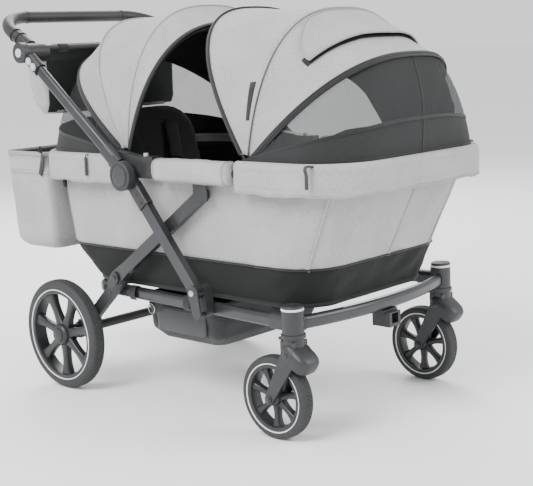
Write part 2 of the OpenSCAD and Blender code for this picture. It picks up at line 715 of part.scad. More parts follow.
// ---------- casters and wheels ----------
fork_top = housing_bot - 0.5;
module fork() {
    crown = [caster_x + 6, fork_top - 42];
    axle = [wheel_x, front_r];
    in = front_tyre_w / 2 + 3;
    out = in + 8;
    color(slate) {
        difference() {
            union() {
                translate([caster_x, 0, fork_top - 20]) cylinder(r = 24, h = 20);
                translate([caster_x - 20, -in - 1, fork_top - 52]) cube([40, 2 * in + 2, 46]);
                both() plate(in, out) bar2d(axle, crown, 12, 22);
            }
            // Room for the tyre between the arms
            ypin(axle, front_r + 5, -in + 1, in - 1);
        }
        translate([caster_x, 0, fork_top - 1]) cylinder(r = stem_r, h = 48);
        // Swivel lock tab
        translate([caster_x - 38, -9, fork_top - 8]) cube([20, 18, 6]);
        ypin(axle, spindle_r, -out - 2, out + 2);
    }
}
module fork_left() { translate([0, caster_track, 0]) fork(); }
module fork_right() { translate([0, -caster_track, 0]) fork(); }

// Wheel body: hub, deep spokes and rim ring, on the y = 0 plane
module rim(p, R, tyre_h, w, hub_w, bore) {
    color(black) difference() {
        union() {
            ypin(p, R * 0.155, -hub_w / 2, hub_w / 2);
            difference() {
                ypin(p, R - tyre_h - snug, -w / 2, w / 2);
                ypin(p, R - tyre_h - 9, -w, w);
            }
            for (i = [0 : spokes - 1]) translate([p[0], 0, p[1]]) rotate([0, 360 * i / spokes, 0])
                translate([R * 0.1, -w * 0.32, -R * 0.045]) cube([R * 0.9 - tyre_h - 2, w * 0.64, R * 0.09]);
        }
        ypin(p, bore + run, -100, 100);
    }
}
module tyre(p, R, h, w) {
    color("#3a3b3d") translate([p[0], 0, p[1]]) rotate([90, 0, 0]) rotate_extrude($fn = 96) {
        translate([R - h, -w / 2]) square([h / 2, w]);
        translate([R - h / 2 - 0.01, 0]) rounded(h, w, h * 0.48);
    }
}
rear_h = 26;
front_h = 19.7;
rear_hub_w = rear_tyre_w + 6;
module rear_rim_left() { translate([0, rear_track, 0]) rear_rim(); }
module rear_rim_right() { translate([0, -rear_track, 0]) rear_rim(); }
module rear_rim() { rim([rear_x, rear_r], rear_r, rear_h, rear_tyre_w - 8, rear_hub_w, spindle_r); }
module rear_tyre_left() { translate([0, rear_track, 0]) tyre([rear_x, rear_r], rear_r, rear_h, rear_tyre_w); }
module rear_tyre_right() { translate([0, -rear_track, 0]) tyre([rear_x, rear_r], rear_r, rear_h, rear_tyre_w); }
module front_rim_left() { translate([0, caster_track, 0]) front_rim(); }
module front_rim_right() { translate([0, -caster_track, 0]) front_rim(); }
module front_rim() { rim([wheel_x, front_r], front_r, front_h, front_tyre_w - 8, front_tyre_w + 4, spindle_r); }
module front_tyre_left() { translate([0, caster_track, 0]) tyre([wheel_x, front_r], front_r, front_h, front_tyre_w); }
module front_tyre_right() { translate([0, -caster_track, 0]) tyre([wheel_x, front_r], front_r, front_h, front_tyre_w); }
module brake_levers() {
    color(black) both() difference() {
        plate(206, 220) {
            translate([rear_x, rear_r]) circle(18);
            bar2d([rear_x, rear_r], [rear_x - 46, rear_r + 10], 10, 6);
            bar2d([rear_x, rear_r], [rear_x + 10, rear_r - 26], 9, 6);
        }
        ypin([rear_x, rear_r], axle_r + run, 200, 230);
    }
}

side_tubes();
rear_tube();
front_tube();
reflective_strip();
tow_socket();
caster_housings();
housing_rings();
rear_axle();
axle_brackets();
rear_legs();
link_feet();
floor_board();
tub_lower();
seat_cushions();
under_bag();
frame_screws();
front_links();
rear_links();
front_rail();
rear_rail();
tub_upper();
rim_cover_front();
rim_cover_rear();
rail_pads();
hub_joints();
link_guides();
handle_tubes();
adjusters();
crossbar();
organiser();
rear_basket();
front_mesh();
rear_mesh();
fixed_bows();
front_bow_mid();
front_bow_edge();
rear_bow_mid();
rear_bow_edge();
front_panel_low();
front_panel_high();
rear_panel_low();
rear_panel_high();
grip_bar();
adjuster_button_left();
adjuster_button_right();
fold_buttons();
caster_buttons();
fork_left();
fork_right();
rear_rim_left();
rear_rim_right();
rear_tyre_left();
rear_tyre_right();
front_rim_left();
front_rim_right();
front_tyre_left();
front_tyre_right();
brake_levers();
seat_back_front();
seat_back_rear();
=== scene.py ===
# %% [markdown]
# # A stroller wagon for two, built round its CAD frame
# The frame holds every hard part at its true size and place. This notebook adds the sewn
# goods, the wheels' fine shapes and all the finishes. Each step says what the piece is on the
# real wagon, how it could be made, and why it is made this way here.
#
# Everything is in metres: +X points to the front casters, +Y to the wagon's left, +Z up.

# %% Load the frame
import json
import math

import bmesh
import bpy
import numpy as np
from mathutils import Matrix, Vector


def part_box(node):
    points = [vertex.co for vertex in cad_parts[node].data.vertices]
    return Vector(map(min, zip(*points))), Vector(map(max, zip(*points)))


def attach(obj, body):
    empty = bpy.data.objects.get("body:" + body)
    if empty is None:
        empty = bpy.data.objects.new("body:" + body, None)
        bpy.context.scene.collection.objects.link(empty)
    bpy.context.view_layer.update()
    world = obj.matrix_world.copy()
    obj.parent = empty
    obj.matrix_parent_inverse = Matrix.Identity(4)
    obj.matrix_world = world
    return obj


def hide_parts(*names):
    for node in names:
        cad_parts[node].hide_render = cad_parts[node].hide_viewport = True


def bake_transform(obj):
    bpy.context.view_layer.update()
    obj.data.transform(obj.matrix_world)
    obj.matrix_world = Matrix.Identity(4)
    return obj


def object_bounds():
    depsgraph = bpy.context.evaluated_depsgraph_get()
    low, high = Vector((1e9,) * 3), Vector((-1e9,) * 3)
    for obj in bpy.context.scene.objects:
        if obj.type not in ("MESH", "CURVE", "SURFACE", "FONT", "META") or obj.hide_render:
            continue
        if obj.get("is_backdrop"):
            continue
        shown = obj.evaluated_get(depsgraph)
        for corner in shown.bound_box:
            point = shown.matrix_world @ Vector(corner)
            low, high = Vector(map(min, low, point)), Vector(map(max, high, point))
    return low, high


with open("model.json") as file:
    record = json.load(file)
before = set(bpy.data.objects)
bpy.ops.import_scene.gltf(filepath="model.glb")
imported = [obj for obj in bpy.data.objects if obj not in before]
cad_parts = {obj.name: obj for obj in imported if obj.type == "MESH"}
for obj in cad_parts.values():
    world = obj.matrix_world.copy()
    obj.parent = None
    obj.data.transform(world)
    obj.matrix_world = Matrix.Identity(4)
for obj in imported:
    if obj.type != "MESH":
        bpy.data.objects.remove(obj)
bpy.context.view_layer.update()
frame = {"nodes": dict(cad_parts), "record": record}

TAU = 2 * np.pi

# %% [markdown]
# ## Driving sizes
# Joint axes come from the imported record. The cloth's own cutting plan is written here once: the
# middle of the wheelbase, the tub's outlines, and the bows as an angle and a radius each. All
# the sewn pieces are worked out from these few numbers, so they keep fitting each other.

# %% Named places
joints = {j["name"]: j for j in frame["record"]["behaviour"]["joints"]}
FRONT_PIVOT = np.array(joints["front_canopy_fold"]["pos_m"])
REAR_PIVOT = np.array(joints["rear_canopy_fold"]["pos_m"])
ADJUSTER = np.array(joints["handle_tilt"]["pos_m"])
REAR_SEAT_HINGE = np.array(joints["rear_seat_back_fold"]["pos_m"])
FRONT_SEAT_HINGE = np.array(joints["front_seat_back_fold"]["pos_m"])
MIDDLE = (joints["rear_wheel_spin_left"]["pos_m"][0] + joints["caster_swivel_left"]["pos_m"][0]) / 2
RAIL_Y, RAIL_Z, RAIL_TURN = 0.290, 0.600, 0.135
NOSE_FRONT, NOSE_REAR = MIDDLE + 0.565, MIDDLE - 0.497
# Tub outlines: height, front end, rear end, half-width, corner radius
TUB = np.array([
    [0.291, MIDDLE + 0.405, MIDDLE - 0.360, 0.233, 0.088],
    [0.385, MIDDLE + 0.445, MIDDLE - 0.455, 0.256, 0.108],
    [0.587, MIDDLE + 0.548, MIDDLE - 0.480, 0.271, 0.128],
])
BOW_HALF, BOW_ROUND, CLOTH = 0.272, 2.6, 0.0025
# Bows as [degrees above level, radius], turned about the canopy's pivot
FRONT_BOWS = {"base": (6, 0.296), "fixed": (41, 0.349), "mid": (79, 0.343), "edge": (122, 0.412)}
REAR_BOWS = {"edge": (71, 0.335), "seam": (85, 0.362), "mid": (121.5, 0.396),
             "fixed": (143.5, 0.420), "base": (175, 0.372)}
print("axes", FRONT_PIVOT.round(3), REAR_PIVOT.round(3), ADJUSTER.round(3))

# %% [markdown]
# ## From arrays to meshes
# A sewn shape is easiest to control as a function of two parameters. The function is worked out
# on a whole grid at once, and `surface` joins neighbouring grid points into quads. Its UV map
# holds true lengths along the two directions, so a weave keeps its scale on every piece.

# %% Grid surfaces
def unit(v):
    """Each vector divided by its own length."""
    return v / np.maximum(np.linalg.norm(v, axis=-1, keepdims=True), 1e-12)


def blend_in(x, low, high):
    """3t^2 - 2t^3 with t running from 0 at low to 1 at high."""
    t = np.clip((x - low) / (high - low), 0, 1)
    return t * t * (3 - 2 * t)


def ripple(a, b, seed, waves=6, size=1.0):
    """A sum of sines in seeded directions over (a, b), about -1 to 1: soft cloth unevenness."""
    rng = np.random.default_rng(seed)
    way, phase = rng.uniform(0, TAU, waves), rng.uniform(0, TAU, waves)
    rate = rng.uniform(0.6, 1.7, waves) / size
    angle = (np.cos(way) * rate)[:, None, None] * a + (np.sin(way) * rate)[:, None, None] * b
    return np.sin(TAU * angle + phase[:, None, None]).sum(0) / waves * 1.6


def grid_quads(nu, nv, wrap_u, wrap_v):
    """Corner numbers of every quad, for point (i, j) stored at i * nv + j."""
    i = np.arange(nu if wrap_u else nu - 1)[:, None]
    j = np.arange(nv if wrap_v else nv - 1)[None, :]
    i2, j2 = (i + 1) % nu, (j + 1) % nv
    return np.stack([i * nv + j, i2 * nv + j, i2 * nv + j2, i * nv + j2], -1).reshape(-1, 4)


def run_lengths(P, axis, wrap):
    """Mean distance walked along one direction of the grid, from 0."""
    Q = np.concatenate([P, np.take(P, [0], axis)], axis) if wrap else P
    step = np.linalg.norm(np.diff(Q, axis=axis), axis=-1).mean(1 - axis)
    return np.concatenate([[0], np.cumsum(step)])


def keep(name, mesh, material, body, sharp=40):
    """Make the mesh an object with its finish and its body."""
    mesh.shade_smooth()
    mesh.set_sharp_from_angle(angle=math.radians(sharp))
    mesh.materials.append(material)
    piece = bpy.data.objects.new(name, mesh)
    bpy.context.scene.collection.objects.link(piece)
    if body:
        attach(piece, body)
    return piece


def face_out(mesh):
    """Merge doubles, then turn every face outwards."""
    b = bmesh.new()
    b.from_mesh(mesh)
    bmesh.ops.remove_doubles(b, verts=b.verts, dist=1e-6)
    bmesh.ops.recalc_face_normals(b, faces=b.faces)
    b.to_mesh(mesh)
    b.free()


def surface(name, P, material, body=None, wrap_u=False, wrap_v=False, caps=False, thick=0.0,
            sharp=40):
    """A quad mesh over the grid P (nu, nv, 3). caps close the first and last rings."""
    nu, nv = P.shape[:2]
    quads = grid_quads(nu, nv, wrap_u, wrap_v)
    faces = quads.tolist()
    if caps:
        faces += [list(range(nv))[::-1], [(nu - 1) * nv + k for k in range(nv)]]
    mesh = bpy.data.meshes.new(name)
    mesh.from_pydata(P.reshape(-1, 3).tolist(), [], faces)
    su, sv = run_lengths(P, 0, wrap_u), run_lengths(P, 1, wrap_v)
    i = (np.arange(nu if wrap_u else nu - 1)[:, None] + np.zeros(nv if wrap_v else nv - 1, int))
    j = (np.arange(nv if wrap_v else nv - 1)[None, :] + np.zeros_like(i))
    uv = np.stack([np.stack([su[i], sv[j]], -1), np.stack([su[i + 1], sv[j]], -1),
                   np.stack([su[i + 1], sv[j + 1]], -1), np.stack([su[i], sv[j + 1]], -1)], 2)
    flat = np.zeros((len(mesh.loops), 2))
    flat[:quads.size] = uv.reshape(-1, 2)
    mesh.uv_layers.new(name="Lengths").data.foreach_set("uv", flat.ravel())
    face_out(mesh)
    piece = keep(name, mesh, material, body, sharp)
    if thick:
        solid = piece.modifiers.new("Thickness", "SOLIDIFY")
        solid.thickness, solid.offset = thick, -1
    return piece


def declare_sheet(P):
    """How big the cloth was when flat: its longest row and its longest column."""
    rows = np.linalg.norm(np.diff(P, axis=0), axis=-1).sum(0).max()
    columns = np.linalg.norm(np.diff(P, axis=1), axis=-1).sum(1).max()
    return round(float(rows), 2), round(float(columns), 2)


# %% [markdown]
# ## Tubes, cords of piping and stitches
# Piping, webbing and moulded arms are all one outline carried along a path. `swept` does this
# with a direction that the outline's second axis leans to. Stitches are one small lozenge
# stamped along a seam many times, as one mesh.

# %% Paths and outlines
def ring(radius, n=14):
    """Points of a circle."""
    t = np.arange(n) / n * TAU
    return np.stack([np.cos(t), np.sin(t)], -1) * radius


def soft_box(w, h, power=4.0, n=24):
    """A superellipse w by h: |2x/w|^power + |2y/h|^power = 1."""
    t = np.arange(n) / n * TAU
    c, s = np.cos(t), np.sin(t)
    return np.stack([w / 2 * np.sign(c) * abs(c) ** (2 / power), h / 2 * np.sign(s) * abs(s) ** (2 / power)], -1)


def path(points, n=60):
    """A smooth curve through the points (Catmull-Rom), resampled at n even steps of length."""
    p = np.asarray(points, float)
    e = np.concatenate([[2 * p[0] - p[1]], p, [2 * p[-1] - p[-2]]])
    t = np.linspace(0, 1, 24, endpoint=False)[:, None, None]
    a, b, c, d = e[:-3], e[1:-2], e[2:-1], e[3:]
    q = 0.5 * (2 * b + (c - a) * t + (2 * a - 5 * b + 4 * c - d) * t**2 + (3 * b - a - 3 * c + d) * t**3)
    line = np.concatenate([q.transpose(1, 0, 2).reshape(-1, 3), p[-1:]])
    return even(line, n)


def even(line, n):
    """The same polyline with n points at even distances."""
    walked = np.concatenate([[0], np.cumsum(np.linalg.norm(np.diff(line, axis=0), axis=1))])
    at = np.linspace(0, walked[-1], n)
    return np.stack([np.interp(at, walked, line[:, k]) for k in range(3)], -1)


def swept(name, line, outline, lean, material, body=None, closed=False, scale=None, sharp=40):
    """Ring i is line[i] + outline x * side + outline y * lift, where side = tangent x lean."""
    if closed:
        tangent = unit(np.roll(line, -1, 0) - np.roll(line, 1, 0))
    else:
        tangent = unit(np.gradient(line, axis=0))
    side = unit(np.cross(tangent, np.broadcast_to(lean, line.shape)))
    lift = np.cross(side, tangent)
    grow = np.ones((len(line), 1, 2)) if scale is None else np.asarray(scale, float).reshape(len(line), 1, -1)
    o = outline[None] * grow
    P = line[:, None] + o[..., :1] * side[:, None] + o[..., 1:] * lift[:, None]
    return surface(name, P, material, body, wrap_u=closed, wrap_v=True, caps=not closed, sharp=sharp)


LOZENGE = np.array([[1, 0, 0], [0, 1, 0], [-1, 0, 0], [0, -1, 0], [0, 0, 1], [0, 0, -1]]) / 2
LOZENGE_FACES = np.array([[0, 1, 4], [1, 2, 4], [2, 3, 4], [3, 0, 4], [1, 0, 5], [2, 1, 5], [3, 2, 5], [0, 3, 5]])


def stamped(name, points, faces, centre, x, y, z, material, body=None, sharp=40):
    """One mesh of many copies: copy k is centre[k] + px * x[k] + py * y[k] + pz * z[k]."""
    V = centre[:, None] + points[None, :, :1] * x[:, None] + points[None, :, 1:2] * y[:, None] + points[None, :, 2:] * z[:, None]
    F = faces[None] + (np.arange(len(centre)) * len(points))[:, None, None]
    mesh = bpy.data.meshes.new(name)
    mesh.from_pydata(V.reshape(-1, 3).tolist(), [], F.reshape(-1, F.shape[-1]).tolist())
    face_out(mesh)
    return keep(name, mesh, material, body, sharp)


def stitches(name, line, out, material, body=None, pitch=0.0075):
    """Thread showing along a seam: lozenges 62% of the pitch long, standing 0.6 mm off the cloth."""
    length = np.linalg.norm(np.diff(line, axis=0), axis=1).sum()
    n = max(3, int(length / pitch))
    both = even(np.concatenate([line], 0), n)
    lean = even(np.asarray(out, float) * 1.0 + line, n) - both
    tangent, lean = unit(np.gradient(both, axis=0)), unit(lean)
    side = unit(np.cross(tangent, lean))
    return stamped(name, LOZENGE, LOZENGE_FACES, both + lean * 0.0004, tangent * pitch * 0.62,
                   side * 0.0013, lean * 0.0012, material, body)


def lathe(name, profile, centre, axis, material, body=None, n=64, sharp=35, closed=False):
    """The (distance along axis, radius) profile turned about the axis through centre."""
    axis = unit(np.asarray(axis, float))
    a = unit(np.cross(axis, [0.3, 0.1, 1.0] if abs(axis[2]) < 0.9 else [1.0, 0, 0]))
    b = np.cross(axis, a)
    t = np.arange(n) / n * TAU
    p = np.asarray(profile, float)
    round_about = np.cos(t)[:, None] * a + np.sin(t)[:, None] * b
    P = np.asarray(centre) + p[:, 0, None, None] * axis + p[:, 1, None, None] * round_about[None]
    return surface(name, P, material, body, wrap_u=closed, wrap_v=True, sharp=sharp)


def mirrored(P):
    """The same points on the wagon's other side."""
    return P * np.array([1, -1, 1])

# %% [markdown]
# ## Finishes
# The wagon wears about twenty finishes, but few effects: a woven cloth with heathered yarn, an
# open net, the fine pebble of moulded plastic, and scuffs. Each effect is one shader node group
# with named inputs. A material places the groups it needs and sets its own colours.

# %% Node helpers
def put(tree, kind, **values):
    """A new node with its attributes and its named or numbered inputs set."""
    node = tree.nodes.new(kind)
    for key, value in values.items():
        if key.startswith("in_"):
            name = key[3:]
            node.inputs[int(name) if name.isdigit() else name.replace("_", " ")].default_value = value
        else:
            setattr(node, key, value)
    return node


def group(name, inputs, outputs):
    """An empty shader group with named sockets; returns the tree and its two ends."""
    tree = bpy.data.node_groups.new(name, "ShaderNodeTree")
    for label, kind, value in inputs:
        socket = tree.interface.new_socket(label, in_out="INPUT", socket_type=kind)
        if value is not None:
            socket.default_value = value
    for label, kind in outputs:
        tree.interface.new_socket(label, in_out="OUTPUT", socket_type=kind)
    return tree, put(tree, "NodeGroupInput"), put(tree, "NodeGroupOutput")


def math_node(tree, operation, a, b=None, clamp=False):
    """A Math node fed by sockets or numbers."""
    node = put(tree, "ShaderNodeMath", operation=operation, use_clamp=clamp)
    for k, x in enumerate([a] if b is None else [a, b]):
        if hasattr(x, "is_output"):
            tree.links.new(x, node.inputs[k])
        else:
            node.inputs[k].default_value = x
    return node.outputs[0]


# %% The weave group
def make_weave():
    """Height = |sin(pi u n)| + |sin(pi v n)| over and under; Fleck = noise drawn out along each yarn."""
    tree, start, end = group("Heathered weave",
                             [("Lengths", "NodeSocketVector", None), ("Threads per metre", "NodeSocketFloat", 900.0)],
                             [("Height", "NodeSocketFloat"), ("Fleck", "NodeSocketFloat"), ("Cloud", "NodeSocketFloat")])
    split = put(tree, "ShaderNodeSeparateXYZ")
    tree.links.new(start.outputs[0], split.inputs[0])
    yarn = []
    for k in (0, 1):
        turn = math_node(tree, "MULTIPLY", math_node(tree, "MULTIPLY", split.outputs[k], start.outputs[1]), math.pi)
        yarn.append(math_node(tree, "ABSOLUTE", math_node(tree, "SINE", turn)))
    tree.links.new(math_node(tree, "ADD", *yarn), end.inputs[0])
    drawn = []
    for stretch in ((90, 900, 90), (900, 90, 90)):
        place = put(tree, "ShaderNodeMapping", in_Scale=stretch)
        noise = put(tree, "ShaderNodeTexNoise", in_Scale=1.0, in_Detail=2.0)
        tree.links.new(start.outputs[0], place.inputs[0])
        tree.links.new(place.outputs[0], noise.inputs["Vector"])
        drawn.append(noise.outputs[0])
    tree.links.new(math_node(tree, "MULTIPLY", math_node(tree, "ADD", *drawn), 0.5), end.inputs[1])
    cloud = put(tree, "ShaderNodeTexNoise", in_Scale=9.0, in_Detail=4.0)
    tree.links.new(start.outputs[0], cloud.inputs["Vector"])
    tree.links.new(cloud.outputs[0], end.inputs[2])
    return tree


def make_pebble():
    """Height = small cells plus fine noise; Scuff = a mask of sparse soft patches."""
    tree, start, end = group("Moulded pebble",
                             [("Place", "NodeSocketVector", None), ("Size", "NodeSocketFloat", 900.0)],
                             [("Height", "NodeSocketFloat"), ("Scuff", "NodeSocketFloat"), ("Cloud", "NodeSocketFloat")])
    cells = put(tree, "ShaderNodeTexVoronoi")
    tree.links.new(start.outputs[0], cells.inputs["Vector"])
    tree.links.new(start.outputs[1], cells.inputs["Scale"])
    tree.links.new(cells.outputs["Distance"], end.inputs[0])
    scuff = put(tree, "ShaderNodeTexNoise", in_Scale=38.0, in_Detail=6.0)
    tree.links.new(start.outputs[0], scuff.inputs["Vector"])
    tree.links.new(math_node(tree, "MULTIPLY", math_node(tree, "SUBTRACT", scuff.outputs[0], 0.58), 6.0, True), end.inputs[1])
    cloud = put(tree, "ShaderNodeTexNoise", in_Scale=7.0, in_Detail=3.0)
    tree.links.new(start.outputs[0], cloud.inputs["Vector"])
    tree.links.new(cloud.outputs[0], end.inputs[2])
    return tree


def make_net():
    """Solid = 1 on the yarn of a net of round holes laid in offset rows, 0 in the holes."""
    tree, start, end = group("Open net",
                             [("Lengths", "NodeSocketVector", None), ("Holes per metre", "NodeSocketFloat", 420.0),
                              ("Hole", "NodeSocketFloat", 0.36)],
                             [("Solid", "NodeSocketFloat"), ("Height", "NodeSocketFloat")])
    split = put(tree, "ShaderNodeSeparateXYZ")
    tree.links.new(start.outputs[0], split.inputs[0])
    u = math_node(tree, "MULTIPLY", split.outputs[0], start.outputs[1])
    v = math_node(tree, "MULTIPLY", split.outputs[1], start.outputs[1])
    shift = math_node(tree, "MULTIPLY", math_node(tree, "MODULO", math_node(tree, "FLOOR", v), 2.0), 0.5)
    du = math_node(tree, "SUBTRACT", math_node(tree, "FRACT", math_node(tree, "ADD", u, shift)), 0.5)
    dv = math_node(tree, "SUBTRACT", math_node(tree, "FRACT", v), 0.5)
    far = math_node(tree, "SQRT", math_node(tree, "ADD", math_node(tree, "MULTIPLY", du, du), math_node(tree, "MULTIPLY", dv, dv)))
    tree.links.new(math_node(tree, "GREATER_THAN", far, start.outputs[2]), end.inputs[0])
    tree.links.new(far, end.inputs[1])
    return tree


WEAVE, PEBBLE, NET = make_weave(), make_pebble(), make_net()
print("effect groups", [g.name for g in (WEAVE, PEBBLE, NET)])

# %% [markdown]
# ## One material per finish
# Each finish is a Principled shader. Its colour mixes two close tones by the group's fleck or
# cloud, its roughness moves a little, and its height becomes a small bump. Cloth reads its own
# UV lengths; moulded and painted parts read Object coordinates, so the pebble never stretches.

# %% Cloth, net, plastic and metal
def start_material(name, by):
    """An empty material with its shader, and the coordinate that its patterns read."""
    material = bpy.data.materials.new(name)
    material.use_nodes = True
    tree = material.node_tree
    tree.nodes.clear()
    out, shader = put(tree, "ShaderNodeOutputMaterial"), put(tree, "ShaderNodeBsdfPrincipled")
    tree.links.new(shader.outputs[0], out.inputs[0])
    if by == "UV":
        where = put(tree, "ShaderNodeUVMap", uv_map="Lengths").outputs[0]
    else:
        where = put(tree, "ShaderNodeTexCoord").outputs["Object"]
    return material, tree, shader, where


def tones(tree, shader, factor, dark, light, contrast=1.0):
    """Base colour between two tones, by a factor pushed about its middle."""
    push = put(tree, "ShaderNodeMapRange", in_1=0.5 - 0.22 / contrast, in_2=0.5 + 0.22 / contrast)
    mix = put(tree, "ShaderNodeMix", data_type="RGBA")
    mix.inputs[6].default_value, mix.inputs[7].default_value = (*dark, 1), (*light, 1)
    tree.links.new(factor, push.inputs[0])
    tree.links.new(push.outputs[0], mix.inputs[0])
    tree.links.new(mix.outputs[2], shader.inputs["Base Color"])
    return mix


def raised(tree, shader, height, depth, strength=0.5):
    """A bump of that depth in metres."""
    bump = put(tree, "ShaderNodeBump", in_Strength=strength, in_Distance=depth)
    tree.links.new(height, bump.inputs["Height"])
    tree.links.new(bump.outputs[0], shader.inputs["Normal"])


def roughness(tree, shader, factor, low, high):
    """Roughness between two values by a factor."""
    spread = put(tree, "ShaderNodeMapRange", in_3=low, in_4=high)
    tree.links.new(factor, spread.inputs[0])
    tree.links.new(spread.outputs[0], shader.inputs["Roughness"])


def cloth(name, dark, light, threads=900.0, depth=0.0004, sheen=0.25, by="UV", contrast=1.0):
    """Woven fabric: two yarn tones, a woven bump and a soft sheen."""
    material, tree, shader, where = start_material(name, by)
    weave = put(tree, "ShaderNodeGroup", node_tree=WEAVE)
    weave.inputs[1].default_value = threads
    tree.links.new(where, weave.inputs[0])
    mixed = math_node(tree, "ADD", math_node(tree, "MULTIPLY", weave.outputs[1], 0.75), math_node(tree, "MULTIPLY", weave.outputs[2], 0.25))
    tones(tree, shader, mixed, dark, light, contrast)
    raised(tree, shader, weave.outputs[0], depth)
    roughness(tree, shader, weave.outputs[2], 0.8, 0.95)
    shader.inputs["Sheen Weight"].default_value = sheen
    shader.inputs["Sheen Roughness"].default_value = 0.5
    shader.inputs["Specular IOR Level"].default_value = 0.25
    return material


def net(name, colour, holes=420.0, hole=0.36, by="UV"):
    """Black net: holes are cut by Alpha."""
    material, tree, shader, where = start_material(name, by)
    pattern = put(tree, "ShaderNodeGroup", node_tree=NET)
    pattern.inputs[1].default_value, pattern.inputs[2].default_value = holes, hole
    tree.links.new(where, pattern.inputs[0])
    shader.inputs["Base Color"].default_value = (*colour, 1)
    shader.inputs["Roughness"].default_value = 0.7
    tree.links.new(pattern.outputs[0], shader.inputs["Alpha"])
    raised(tree, shader, pattern.outputs[1], 0.0003, 0.3)
    return material


def moulded(name, dark, light, low=0.42, high=0.6, size=900.0, depth=0.0002, scuff=0.35, by="Object"):
    """Moulded plastic, rubber or leatherette: a pebble, a cloud of tone and faint scuffs."""
    material, tree, shader, where = start_material(name, by)
    pebble = put(tree, "ShaderNodeGroup", node_tree=PEBBLE)
    pebble.inputs[1].default_value = size
    tree.links.new(where, pebble.inputs[0])
    factor = math_node(tree, "ADD", pebble.outputs[2], math_node(tree, "MULTIPLY", pebble.outputs[1], scuff))
    tones(tree, shader, factor, dark, light)
    raised(tree, shader, pebble.outputs[0], depth, 0.4)
    roughness(tree, shader, factor, low, high)
    return material


def metal(name, dark, light, low, high, metallic=1.0, coat=0.0, size=1500.0, depth=0.00006):
    """Bare or painted metal: a fine orange peel, and roughness that drifts."""
    material = moulded(name, dark, light, low, high, size, depth, 0.2)
    shader = next(n for n in material.node_tree.nodes if n.type == "BSDF_PRINCIPLED")
    shader.inputs["Metallic"].default_value = metallic
    shader.inputs["Coat Weight"].default_value = coat
    shader.inputs["Coat Roughness"].default_value = 0.18
    return material


# %% The finishes
HEATHER = cloth("Heather_cloth", (0.27, 0.27, 0.267), (0.50, 0.50, 0.493), 850, 0.0005, 0.12, contrast=1.3)
BAND = cloth("Black_green_cloth", (0.005, 0.0065, 0.0055), (0.012, 0.0148, 0.0125), 800, 0.0005, 0.06)
LINER = cloth("Liner_cloth", (0.012, 0.013, 0.013), (0.03, 0.032, 0.032), 800, 0.0004, 0.1)
SEAT = cloth("Cushion_cloth", (0.012, 0.0125, 0.013), (0.036, 0.037, 0.038), 700, 0.0006, 0.3, by="Object")
BAG = cloth("Bag_cloth", (0.022, 0.024, 0.025), (0.055, 0.058, 0.06), 700, 0.0005, 0.2)
POCKET = cloth("Pocket_cloth", (0.045, 0.047, 0.048), (0.085, 0.088, 0.09), 700, 0.0005, 0.2)
WEBBING = cloth("Black_webbing", (0.010, 0.010, 0.011), (0.03, 0.03, 0.032), 420, 0.0008, 0.15)
BINDING = cloth("Black_binding", (0.010, 0.010, 0.011), (0.022, 0.022, 0.023), 600, 0.0005, 0.2)
GREY_BINDING = cloth("Grey_binding", (0.22, 0.225, 0.22), (0.38, 0.385, 0.38), 600, 0.0005, 0.15)
FINE_NET = net("Fine_black_net", (0.018, 0.02, 0.02), 520, 0.33)
OPEN_NET = net("Open_black_net", (0.02, 0.021, 0.021), 330, 0.4)
LIGHT_THREAD = moulded("Light_thread", (0.30, 0.30, 0.29), (0.44, 0.44, 0.43), 0.6, 0.8)
DARK_THREAD = moulded("Dark_thread", (0.10, 0.10, 0.10), (0.18, 0.18, 0.18), 0.6, 0.8)
SLATE = metal("Slate_powder_coat", (0.021, 0.0225, 0.025), (0.036, 0.038, 0.042), 0.28, 0.42, metallic=0.45, coat=0.35)
SLATE_PLASTIC = moulded("Slate_plastic", (0.016, 0.017, 0.0185), (0.028, 0.0295, 0.032), 0.36, 0.5)
BLACK_PLASTIC = moulded("Black_plastic", (0.011, 0.0115, 0.012), (0.03, 0.031, 0.033), 0.38, 0.55)
RIM_PLASTIC = moulded("Rim_plastic", (0.009, 0.0095, 0.0105), (0.022, 0.023, 0.0255), 0.32, 0.48)
PALE_PLASTIC = moulded("Pale_button_plastic", (0.42, 0.43, 0.44), (0.58, 0.59, 0.6), 0.28, 0.4)
WHITE_RING = moulded("White_ring", (0.62, 0.63, 0.64), (0.8, 0.8, 0.8), 0.3, 0.42)
# Painted highlight: this near-white finish on the reflective_strip part stands in for the light shining off the top of
# the frame tube.
PAINTED_HIGHLIGHT = moulded("Reflective_strip", (0.7, 0.71, 0.72), (0.86, 0.87, 0.88), 0.18, 0.3, 700)
LEATHERETTE = moulded("Black_leatherette", (0.010, 0.010, 0.0105), (0.028, 0.028, 0.029), 0.38, 0.55, 420, 0.0005)
RUBBER = moulded("Tyre_rubber", (0.018, 0.0185, 0.019), (0.036, 0.037, 0.038), 0.6, 0.8, 700)
STEEL = metal("Bright_steel", (0.48, 0.49, 0.5), (0.66, 0.67, 0.68), 0.2, 0.34)
DARK_STEEL = metal("Dark_steel", (0.05, 0.052, 0.055), (0.09, 0.093, 0.1), 0.3, 0.45, metallic=0.7)
BOW_STEEL = metal("Bow_spring", (0.02, 0.02, 0.022), (0.05, 0.05, 0.053), 0.35, 0.5, metallic=0.5)
print("finishes", len(bpy.data.materials))

# %% [markdown]
# ## The hard parts keep their CAD shape
# Tubes, links, brackets and buttons already have their true shape, so they only get a finish.
# The mapping from finish to parts is written out, and anything soft is replaced further down.

